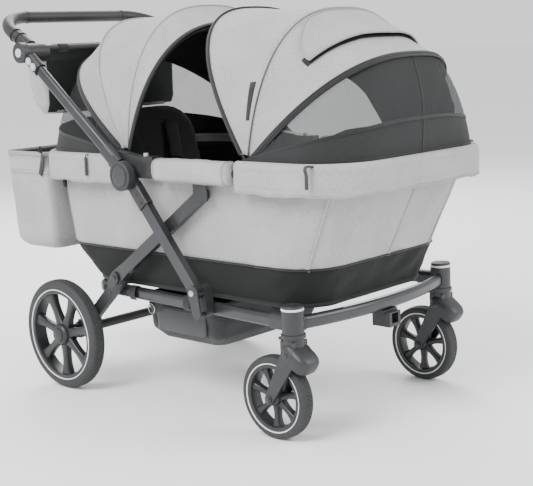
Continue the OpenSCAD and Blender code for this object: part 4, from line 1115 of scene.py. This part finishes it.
strap = path([[back - 0.001, 0.06, 0.612], [back - 0.0045, 0.06, 0.590], [back - 0.001, 0.062, 0.545], [back + 0.004, 0.066, 0.500]], 30)
swept("basket_strap", strap, soft_box(0.020, 0.0024, 4, 12), np.array([-1.0, 0, 0]), WEBBING, "upper_frame")
toggle = strap[22] + np.array([-0.006, 0, 0])
surface("basket_toggle", toggle + block((-0.006, -0.020, -0.007), (0.006, 0.020, 0.007), 3.0, 12), BLACK_PLASTIC, "upper_frame", wrap_v=True)
for side, hand in ((1, "left"), (-1, "right")):
    hook = path([[bx1 - 0.030, side * (by + 0.0005), 0.560], [bx1 - 0.012, side * (by + 0.004), 0.600], [bx1 + 0.008, side * (by + 0.018), 0.628], [bx1 + 0.020, side * (by + 0.034), 0.634]], 30)
    swept(f"basket_hanger_{hand}", hook, soft_box(0.018, 0.0022, 4, 12), np.array([0, side, 0.3]), WEBBING, "upper_frame")
print("rear basket", P.shape)

# %% Organiser and under-floor bag
lowc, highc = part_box("organiser")
pouch_top = 0.8639
pouch_levels = [[pouch_top, highc[0] - 0.020, lowc[0] + 0.002, highc[1] - 0.002], [0.80, highc[0] - 0.018, lowc[0] + 0.004, highc[1] - 0.004],
                [0.745, highc[0] - 0.020, lowc[0] + 0.010, highc[1] - 0.010], [lowc[2] + 0.003, highc[0] - 0.032, lowc[0] + 0.026, highc[1] - 0.026]]
pouch_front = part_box("organiser")[0][0] + 0.086
pouch_levels = [[z, pouch_front - 0.002 - (0.010 if z < 0.73 else 0), r, h] for z, f, r, h in pouch_levels]
pouch, P, top = bag("organiser_pouch", pouch_levels, HEATHER, "upper_frame", "organiser", 0.024, 0.004, 15)
swept("organiser_binding", top, soft_box(0.006, 0.009, 4, 12), UP, BINDING, "upper_frame", closed=True)
stitches("organiser_stitch", P[-2], unit(P[-2] - P[-2].mean(0)), LIGHT_THREAD, "upper_frame")
inside = [[z, f - 0.004, r + 0.004, h - 0.004] for z, f, r, h in pouch_levels]
bag("organiser_lining", inside, LINER, "upper_frame", None, 0.022, 0.002, 16, thick=0.001)
bar_low, bar_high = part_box("crossbar")
bar = np.array([ADJUSTER[0] - 0.012, 0, ADJUSTER[2] + 0.010])
a = np.linspace(0.55, 1.12, 10) * np.pi
over_bar = np.stack([bar[0] + 0.0098 * np.cos(a), bar[2] + 0.0098 * np.sin(a)], -1)
profile = np.concatenate([over_bar, [[bar[0] - 0.018, bar[2] - 0.018], [pouch_front + 0.0006, pouch_top - 0.004], [pouch_front + 0.0004, 0.80], [pouch_front - 0.001, 0.745], [pouch_front - 0.012, 0.724]]])
across = np.linspace(-0.222, 0.222, 60)
drawn = even(np.stack([profile[:, 0], 0 * profile[:, 0], profile[:, 1]], -1), 40)
sheet = np.broadcast_to(drawn[:, None], (40, 60, 3)).copy()
sheet[..., 1] = across
sheet[..., 0] += 0.0012 * ripple(across[None] * 14, np.linspace(0, 1.5, 40)[:, None], 9) * np.sin(np.linspace(0, np.pi, 40))[:, None]
piece = surface("organiser_panel", sheet, LINER, "upper_frame", thick=0.0012)
declare_sheet(sheet)
for y, hand in ((0.19, "left"), (-0.19, "right"), (0.0, "middle")):
    a = np.linspace(-0.5, 1.35, 26) * np.pi
    loop = np.stack([bar[0] + 0.0098 * np.cos(a), 0 * a + y, bar[2] + 0.0098 * np.sin(a)], -1)
    fall = np.array([[pouch_front - 0.001, y, pouch_top - 0.016], [pouch_front - 0.0015, y, pouch_top + 0.010]])
    line = path(np.concatenate([fall, loop[::-1][2:]]), 50)
    swept(f"organiser_loop_{hand}", line, soft_box(0.030, 0.0020, 4, 12), np.array([0.7, 0.0, 0.7]), WEBBING, "upper_frame")
    print("loop", hand, end="; ")

lowc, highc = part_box("under_bag")
x0, x1 = MIDDLE - 0.200, MIDDLE + 0.080
under_levels = [[highc[2] - 0.001, x1 - 0.001, x0 + 0.001, 0.199], [0.215, x1 - 0.003, x0 + 0.003, 0.197], [0.168, x1 - 0.010, x0 + 0.010, 0.190], [lowc[2] + 0.001, x1 - 0.030, x0 + 0.030, 0.168]]
under, P, top = bag("under_floor_bag", under_levels, BAG, "chassis", "under_bag", 0.030, 0.008, 25)
swept("under_bag_binding", top, soft_box(0.005, 0.010, 4, 10), UP, BINDING, "chassis", closed=True)
bag("under_bag_lining", [[z, f - 0.004, r + 0.004, h - 0.004] for z, f, r, h in under_levels], LINER, "chassis", None, 0.028, 0.004, 26, thick=0.001)
for side, hand in ((1, "left"), (-1, "right")):
    pocket_x = np.linspace(x0 + 0.05, x1 - 0.05, 26)[:, None]
    pocket_z = np.linspace(0.170, 0.232, 12)[None]
    puffed = 0.003 + 0.006 * np.sin(np.pi * (pocket_x - pocket_x.min()) / np.ptp(pocket_x)) * (1 - ((pocket_z - 0.195) / 0.045) ** 2 * 0.6)
    Q = np.stack([pocket_x + 0 * pocket_z, side * (0.1935 + puffed), pocket_z + 0 * pocket_x], -1)
    surface(f"under_bag_pocket_{hand}", Q, POCKET, "chassis", thick=0.0016)
    swept(f"under_bag_pocket_hem_{hand}", Q[:, -1], soft_box(0.003, 0.008, 4, 10), UP, BINDING, "chassis")
    for x, k in ((x0 + 0.036, "rear"), (x1 - 0.030, "front")):
        tube_y = 0.238 + 0.045 * (x - MIDDLE + 0.40) / 0.80
        a = np.linspace(-0.35, 1.1, 24) * np.pi
        around = np.stack([0 * a + x, side * (tube_y + 0.0135 * np.cos(a)), 0.274 + 0.0185 * np.sin(a)], -1)
        line = path(np.concatenate([[[x, side * 0.1995, 0.235], [x, side * 0.203, 0.250]], around[::-1][3:]]), 50)
        swept(f"under_bag_loop_{k}_{hand}", line, soft_box(0.024, 0.0020, 4, 12), np.array([0, side, 0.2]), WEBBING, "chassis")
    t = np.linspace(0, TAU, 40, endpoint=False)
    dee = np.stack([x0 + 0.036 + 0.012 * np.cos(t), side * (0.2025 + 0 * t), 0.222 + 0.011 * np.sin(t) * (1 + 0.25 * (np.sin(t) > 0))], -1)
    swept(f"under_bag_ring_{hand}", dee, ring(0.0017, 10), np.array([0, 1.0, 0]), STEEL, "chassis", closed=True)
print("bags done")

# %% [markdown]
# ## Wheels
# A moulded wheel is turned and then has deep spokes. Its barrel, lips and hub are lathe
# profiles, and each of the seven spokes is a tapering web with rounded edges. The tyre's tread
# is a lathe grid whose crown is pressed in by a fine pattern of grooves.

# %% Turned tyre, rim and spokes
def wheel(name, rim_node, tyre_node, body, rim_share, spoke_deep, tread):
    """Every part is worked out from the tyre's box: centre, radius and width."""
    low_corner, high_corner = (np.array(v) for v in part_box(tyre_node))
    centre = (low_corner + high_corner) / 2
    R, W = (high_corner[2] - low_corner[2]) / 2, (high_corner[1] - low_corner[1])
    hub_low, hub_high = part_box(rim_node)
    hub_w = hub_high[1] - hub_low[1]
    inner = R * rim_share
    half = np.linspace(-1, 1, 31)
    around = 288
    t = np.arange(around) / around * TAU
    thick = R - inner
    side = np.sign(half) * np.abs(half) ** 0.8
    crown = (1 - np.abs(half) ** 3.2) ** (1 / 2.6)
    r = inner + thick * (0.34 + 0.66 * crown)
    y = side * W / 2 * (0.90 + 0.10 * np.sin(np.pi * np.clip((r - inner) / thick, 0, 1)))
    block_row = np.floor((half * 0.5 + 0.5) * 7)
    groove = 0.5 + 0.5 * np.tanh(6 * (np.sin(t[None] * tread + block_row[:, None] * 2.4) + 0.55))
    line_groove = 0.5 + 0.5 * np.tanh(5 * (np.abs(np.sin((half[:, None] * 0.5 + 0.5) * 7 * np.pi)) * 3 - 0.8))
    on_crown = blend_in(crown, 0.86, 0.97)[:, None]
    radial = (r[:, None] - 0.0016 * on_crown * (1 - groove * line_groove))
    P = np.stack([centre[0] + radial * np.cos(t), centre[1] + y[:, None] + 0 * radial, centre[2] + radial * np.sin(t)], -1)
    inside = np.stack([centre[0] + (inner * 0.985) * np.cos(t), centre[1] + y[-1] * 0.86 + 0 * t, centre[2] + (inner * 0.985) * np.sin(t)], -1)
    inside2 = inside.copy(); inside2[:, 1] = centre[1] - y[-1] * 0.86
    piece = surface(f"{name}_tyre", np.concatenate([inside2[None], P, inside[None]]), RUBBER, body, wrap_v=True, sharp=50)
    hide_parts(tyre_node)
    axle = [0, 1, 0]
    b = W * 0.43
    barrel = [(-b, inner - 0.0065), (-b - 0.0015, inner - 0.002), (-b, inner + 0.002), (-b * 0.7, inner + 0.0006), (b * 0.7, inner + 0.0006),
              (b, inner + 0.002), (b + 0.0015, inner - 0.002), (b, inner - 0.0065), (b * 0.7, inner - 0.0085), (-b * 0.7, inner - 0.0085)]
    rim = lathe(f"{name}_rim", barrel, centre, axle, RIM_PLASTIC, body, 96, 40, closed=True)
    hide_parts(rim_node)
    hub_r = R * 0.195
    h = hub_w / 2
    hub = [(-h, 0.0068), (-h, hub_r * 0.72), (-h + 0.003, hub_r * 0.9), (-h * 0.7, hub_r), (h * 0.7, hub_r), (h - 0.003, hub_r * 0.9), (h, hub_r * 0.72), (h, 0.0068)]
    lathe(f"{name}_hub", hub, centre, axle, RIM_PLASTIC, body, 64, 40, closed=True)
    s = np.linspace(0, 1, 22)
    o = soft_box(1, 1, 3.2, 20)
    for k in range(7):
        a = TAU * k / 7 + 0.22
        along = hub_r * 0.8 + (inner - 0.006 - hub_r * 0.8) * s
        wide = R * (0.215 - 0.075 * np.sin(np.pi * np.clip(s, 0, 1)) ** 0.8 + 0.045 * s**4)
        deep = spoke_deep * W * (1 - 0.20 * np.sin(np.pi * s))
        cx, cz = math.cos(a), math.sin(a)
        Q = np.empty((22, 20, 3))
        Q[..., 0] = centre[0] + along[:, None] * cx - o[None, :, 0] * wide[:, None] * cz
        Q[..., 2] = centre[2] + along[:, None] * cz + o[None, :, 0] * wide[:, None] * cx
        Q[..., 1] = centre[1] + o[None, :, 1] * deep[:, None]
        surface(f"{name}_spoke_{k}", Q, RIM_PLASTIC, body, wrap_v=True, caps=True)
    for way in (-1, 1):
        face = centre + np.array([0, way * (h - 0.001), 0])
        cap = [(0.0, hub_r * 0.70), (0.004, hub_r * 0.66), (0.0062, hub_r * 0.5), (0.0070, hub_r * 0.2), (0.0072, 0.0001)]
        lathe(f"{name}_cap_{'a' if way < 0 else 'b'}", cap, face, [0, way, 0], BLACK_PLASTIC, body, 48)
        white = [(0, inner + 0.0022), (0.0014, inner + 0.0030), (0.0014, inner + 0.0048), (0, inner + 0.0058)]
        lathe(f"{name}_ring_{'a' if way < 0 else 'b'}", white, centre + np.array([0, way * (W * 0.452), 0]), [0, way, 0], WHITE_RING, body, 120)
    print(name, "radius", round(R, 4), "width", round(W, 4), end="; ")


for hand in ("left", "right"):
    wheel(f"rear_wheel_{hand}", f"rear_rim_{hand}", f"rear_tyre_{hand}", f"rear_wheel_{hand}", 0.80, 0.62, 84)
    wheel(f"front_wheel_{hand}", f"front_rim_{hand}", f"front_tyre_{hand}", f"front_wheel_{hand}", 0.78, 0.62, 64)
print("wheels done")

# %% [markdown]
# ## Small hardware
# Bolt heads, caps, buttons and collars are what the eye measures a frame by. Most are low
# domes: a rounded outline stacked at a few heights, each smaller than the one below.

# %% Domes and bolts
def dome(name, centre, x, y, z, w, h, rise, material, body, power=2.0, n=36, foot=0.001):
    """Outlines w by h scaled by 1, 1, .93, .72, .4, .01 at rising heights up to rise along z."""
    o = soft_box(w, h, power, n)
    sizes = np.array([1, 1, 0.93, 0.72, 0.4, 0.01])
    up = np.array([-foot, 0.55 * rise, 0.80 * rise, 0.95 * rise, rise, rise * 1.01])
    x, y, z = (np.asarray(v, float) for v in (x, y, z))
    P = np.asarray(centre) + (o[None, :, :1] * x + o[None, :, 1:] * y) * sizes[:, None, None] + up[:, None, None] * z
    return surface(name, P, material, body, wrap_v=True, caps=True)


def bolt(name, centre, out, radius, body, material=None):
    """A domed bolt head on a thin washer, facing along out."""
    out = np.asarray(out, float)
    x = np.array([1.0, 0, 0])
    y = np.cross(out, x)
    dome(f"{name}_washer", centre, x, y, out, radius * 2.7, radius * 2.7, 0.0014, DARK_STEEL, body)
    dome(f"{name}_head", np.asarray(centre) + out * 0.0012, x, y, out, radius * 2, radius * 2, radius * 0.55, material or STEEL, body)
    profile = [(0, radius * 0.42), (0.0004, radius * 0.36), (-0.0012, radius * 0.30), (-0.0012, 0.0001)]
    lathe(f"{name}_socket", profile, np.asarray(centre) + out * (0.0013 + radius * 0.55), out, BLACK_PLASTIC, body, 6)


HUB = np.array([MIDDLE - 0.088, 0, 0.585])
FOOT = np.array(joints["front_link_swing"]["pos_m"])
KNEE = np.array(joints["rear_link_swing"]["pos_m"])
X, Z = np.array([1.0, 0, 0]), np.array([0, 0, 1.0])
link = unit(FOOT - HUB)
tube = unit(ADJUSTER - HUB)
for side, hand in ((1, "left"), (-1, "right")):
    out = np.array([0, side, 0.0])
    at_y = lambda p, y: np.array([p[0], side * y, p[2]])
    face = at_y(HUB, 0.340)
    lathe(f"hub_ring_{hand}", [(0, 0.0335), (0.0014, 0.0325), (0.0014, 0.0300), (0, 0.0290)], face, out, SLATE_PLASTIC, "upper_frame", 72)
    dome(f"hub_cover_{hand}", face, X, Z, out, 0.050, 0.050, 0.003, SLATE_PLASTIC, "upper_frame")
    line = np.linspace(0, 1, 8)[:, None] * link * 0.050 + at_y(HUB, 0.312) + link * 0.044
    swept(f"link_sleeve_{hand}", line, soft_box(0.0365, 0.0245, 5, 28), out, BLACK_PLASTIC, "front_links")
    for k, s in (("a", 0.058), ("b", 0.082)):
        bolt(f"sleeve_screw_{k}_{hand}", at_y(HUB + link * s, 0.3240), out, 0.0032, "front_links", DARK_STEEL)
    bolt(f"foot_bolt_{hand}", at_y(FOOT, abs(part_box("link_feet")[1][1]) - 0.0003), out, 0.0075, "chassis")
    bolt(f"knee_bolt_{hand}", at_y(KNEE, abs(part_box("rear_legs")[1][1]) - 0.0003), out, 0.0075, "chassis", DARK_STEEL)
    for k, s in (("a", 0.034), ("b", 0.057)):
        across = unit(np.cross(tube, out))
        dome(f"handle_button_{k}_{hand}", at_y(ADJUSTER - tube * s, 0.3278), across, tube, out, 0.0175, 0.0215, 0.0042, PALE_PLASTIC, "upper_frame")
    grip = unit(np.array([-math.cos(math.radians(26.4)), 0, math.sin(math.radians(26.4))]))
    a = np.linspace(0, TAU, 44, endpoint=False)
    for k, s in (("a", 0.080), ("b", 0.104)):
        circle = np.array([ADJUSTER[0], side * 0.276, ADJUSTER[2]]) + grip * s + 0.0168 * (np.cos(a)[:, None] * out + np.sin(a)[:, None] * np.cross(grip, out))
        swept(f"grip_collar_{k}_{hand}", circle, soft_box(0.005, 0.0022, 3, 8), grip, BLACK_PLASTIC, "handlebar", closed=True)
    for k, s in (("a", 0.046), ("b", 0.064)):
        top = np.array([ADJUSTER[0], side * 0.276, ADJUSTER[2]]) + grip * s + np.cross(out, grip) * side * -0.0155
        dome(f"grip_clip_{k}_{hand}", top, grip, out, np.cross(out, grip) * side * -1, 0.012, 0.014, 0.006, BLACK_PLASTIC, "handlebar", 3.0)
print("links, hubs and handle dressed")

# %% [markdown]
# ## Caster hardware
# Over each fork sits a moulded suspension body, a rounded block turned so that it follows the
# tyre. A black cap with a white ring closes the pivot on top of the housing.

# %% Caster caps, bodies and bolts
for side, hand in ((1, "left"), (-1, "right")):
    pivot = np.array(joints[f"caster_swivel_{hand}"]["pos_m"])
    axle = np.array(joints[f"front_wheel_spin_{hand}"]["pos_m"])
    body = f"caster_{hand}"
    low_corner, high_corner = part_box("housing_rings")
    base = np.array([pivot[0], pivot[1], low_corner[2]])
    R = (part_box("housing_rings")[1][1] - abs(pivot[1]))
    ring_line = [(-0.0002, 0.0001), (-0.0002, R), (0.0022, R + 0.0004), (0.0046, R), (0.0050, R - 0.002), (0.0050, 0.0001)]
    piece = lathe(f"caster_ring_{hand}", ring_line, base, Z, WHITE_RING, "chassis", 72)
    cap_line = [(0.0048, 0.0001), (0.0048, R - 0.0008), (0.0085, R - 0.0008), (0.0105, R - 0.0026), (0.0115, R * 0.6), (0.0119, 0.0001)]
    lathe(f"caster_cap_{hand}", cap_line, base, Z, BLACK_PLASTIC, "chassis", 72)
    radial = unit(np.array([pivot[0] + 0.016, 0, 0.199]) - np.array([axle[0], 0, axle[2]]))
    along = np.array([radial[2], 0, -radial[0]])
    centre = np.array([pivot[0] + 0.016, pivot[1], 0.199])
    half_y = (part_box(f"fork_{hand}")[1][1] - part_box(f"fork_{hand}")[0][1]) / 2
    Q = block((-0.043, -half_y - 0.001, -0.0235), (0.043, half_y + 0.001, 0.0250), 3.2, 26)
    placed = centre + Q[..., :1] * along + Q[..., 1:2] * np.array([0, 1.0, 0]) + Q[..., 2:] * radial
    surface(f"caster_body_{hand}", placed, SLATE_PLASTIC, body, wrap_v=True)
    for k, way in (("out", side), ("in", -side)):
        out = np.array([0, way, 0.0])
        bolt(f"caster_axle_{k}_{hand}", axle + out * (half_y - 0.0003), out, 0.0068, body, DARK_STEEL)
        bolt(f"caster_body_bolt_{k}_{hand}", centre - along * 0.016 + out * (half_y + 0.0006), out, 0.0052, body, DARK_STEEL)
    tab = block((pivot[0] - 0.034, pivot[1] - 0.011, 0.2325), (pivot[0] - 0.016, pivot[1] + 0.011, 0.2415), 4.0, 14)
    surface(f"caster_lock_tab_{hand}", tab, BLACK_PLASTIC, body, wrap_v=True)
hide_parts("housing_rings")
print("casters dressed")

# %% [markdown]
# Zip pulls and strap loops hang free from the covers, so they are drawn last, as short sweeps.

# %% Pulls and loops
for end, k, fall in (("front", 22, 0.026), ("front", 58, 0.026), ("rear", 9, 0.030), ("rear", 71, 0.030)):
    foot = PANELS[end, "low"][0]
    start = foot[k] * [1, 1, 0] + [0, 0, 0.6035]
    side = 1 if start[1] > 0 else -1
    hand = "left" if side > 0 else "right"
    reach = abs(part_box("rim_cover_front")[1][1]) + 0.004
    line = path([start, [start[0], side * (reach - 0.004), 0.628], [start[0], side * (reach + 0.001), 0.606], [start[0], side * (reach + 0.002), 0.606 - fall]], 24)
    swept(f"{end}_pull_{hand}_cord", line[:15], ring(0.0015, 8), X, BINDING, "upper_frame")
    swept(f"{end}_pull_{hand}_tag", line[13:], soft_box(0.0045, 0.008, 4, 12), X, BLACK_PLASTIC, "upper_frame")
for side, hand in ((1, "left"), (-1, "right")):
    x = MIDDLE - 0.392
    line = path([[x, side * 0.2735, 0.580], [x, side * 0.2765, 0.560], [x - 0.001, side * 0.2735, 0.535], [x, side * 0.2705, 0.545], [x, side * 0.2715, 0.575]], 40)
    on_tub(swept(f"tub_loop_{hand}", line, soft_box(0.010, 0.0016, 4, 10), np.array([0, side, 0.1]), WEBBING))
print("pulls and loops done")

# %% [markdown]
# ## Camera, light and floor
# The wagon stands on a plain pale floor, seen from its front left a little above the rim. Broad
# soft lights from above, the left and behind keep the shadows open and the dark parts readable.

# %% Camera
def aim(place, yaw, pitch, roll):
    """A camera matrix from heading, dip and roll in radians: columns are right, up and backward."""
    ahead = np.array([-math.sin(yaw) * math.cos(pitch), math.cos(yaw) * math.cos(pitch), -math.sin(pitch)])
    right = unit(np.cross(ahead, [0, 0, 1.0]))
    up = np.cross(right, ahead)
    c, s = math.cos(roll), math.sin(roll)
    return Matrix([[*row, p] for row, p in zip(np.stack([c * right + s * up, -s * right + c * up, -ahead], 1), place)] + [[0, 0, 0, 1]])


lens = bpy.data.cameras.new("Camera")
lens.lens, lens.sensor_width, lens.shift_x, lens.shift_y = 79.05, 36, -0.0896, 0.0286
camera = bpy.data.objects.new("Camera", lens)
bpy.context.scene.collection.objects.link(camera)
camera.matrix_world = aim((MIDDLE + 2.1056, -2.1304, 0.8925), 0.7236, 0.1861, -0.0404)
bpy.context.scene.camera = camera

# %% Floor and lights
floor_mesh = bpy.data.meshes.new("Floor")
floor_mesh.from_pydata([(-60, -60, 0), (60, -60, 0), (60, 60, 0), (-60, 60, 0)], [], [(0, 1, 2, 3)])
floor = bpy.data.objects.new("Floor", floor_mesh)
bpy.context.scene.collection.objects.link(floor)
floor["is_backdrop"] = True
pale = bpy.data.materials.new("Pale floor")
pale.use_nodes = True
pale.node_tree.nodes["Principled BSDF"].inputs["Base Color"].default_value = (0.95, 0.95, 0.95, 1)
pale.node_tree.nodes["Principled BSDF"].inputs["Roughness"].default_value = 0.8
floor_mesh.materials.append(pale)

world = bpy.data.worlds.new("Studio")
world.use_nodes = True
world.node_tree.nodes["Background"].inputs["Color"].default_value = (0.97, 0.98, 1.0, 1)
world.node_tree.nodes["Background"].inputs["Strength"].default_value = 1.2
bpy.context.scene.world = world
for name, place, size, power in (("Key", (0.2, -3.4, 3.4), 2.2, 250), ("Side", (3.4, 1.6, 2.4), 2.2, 90), ("Back", (-2.6, 2.2, 2.8), 2.4, 140)):
    light = bpy.data.lights.new(name, "AREA")
    light.energy, light.size = power, size
    lamp = bpy.data.objects.new(name, light)
    lamp.location = place
    lamp.rotation_euler = (Vector((0, 0, 0.45)) - Vector(place)).to_track_quat("-Z", "Y").to_euler()
    bpy.context.scene.collection.objects.link(lamp)
print("camera and lights ready")

# %% [markdown]
# ## Measure
# The visual model's box is worked out and printed at the end. The visual model must stay near
# the CAD's box.

# %% Sizes and finish
low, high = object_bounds()
print("visual box", [round(float(v), 4) for v in (*low, *high)])
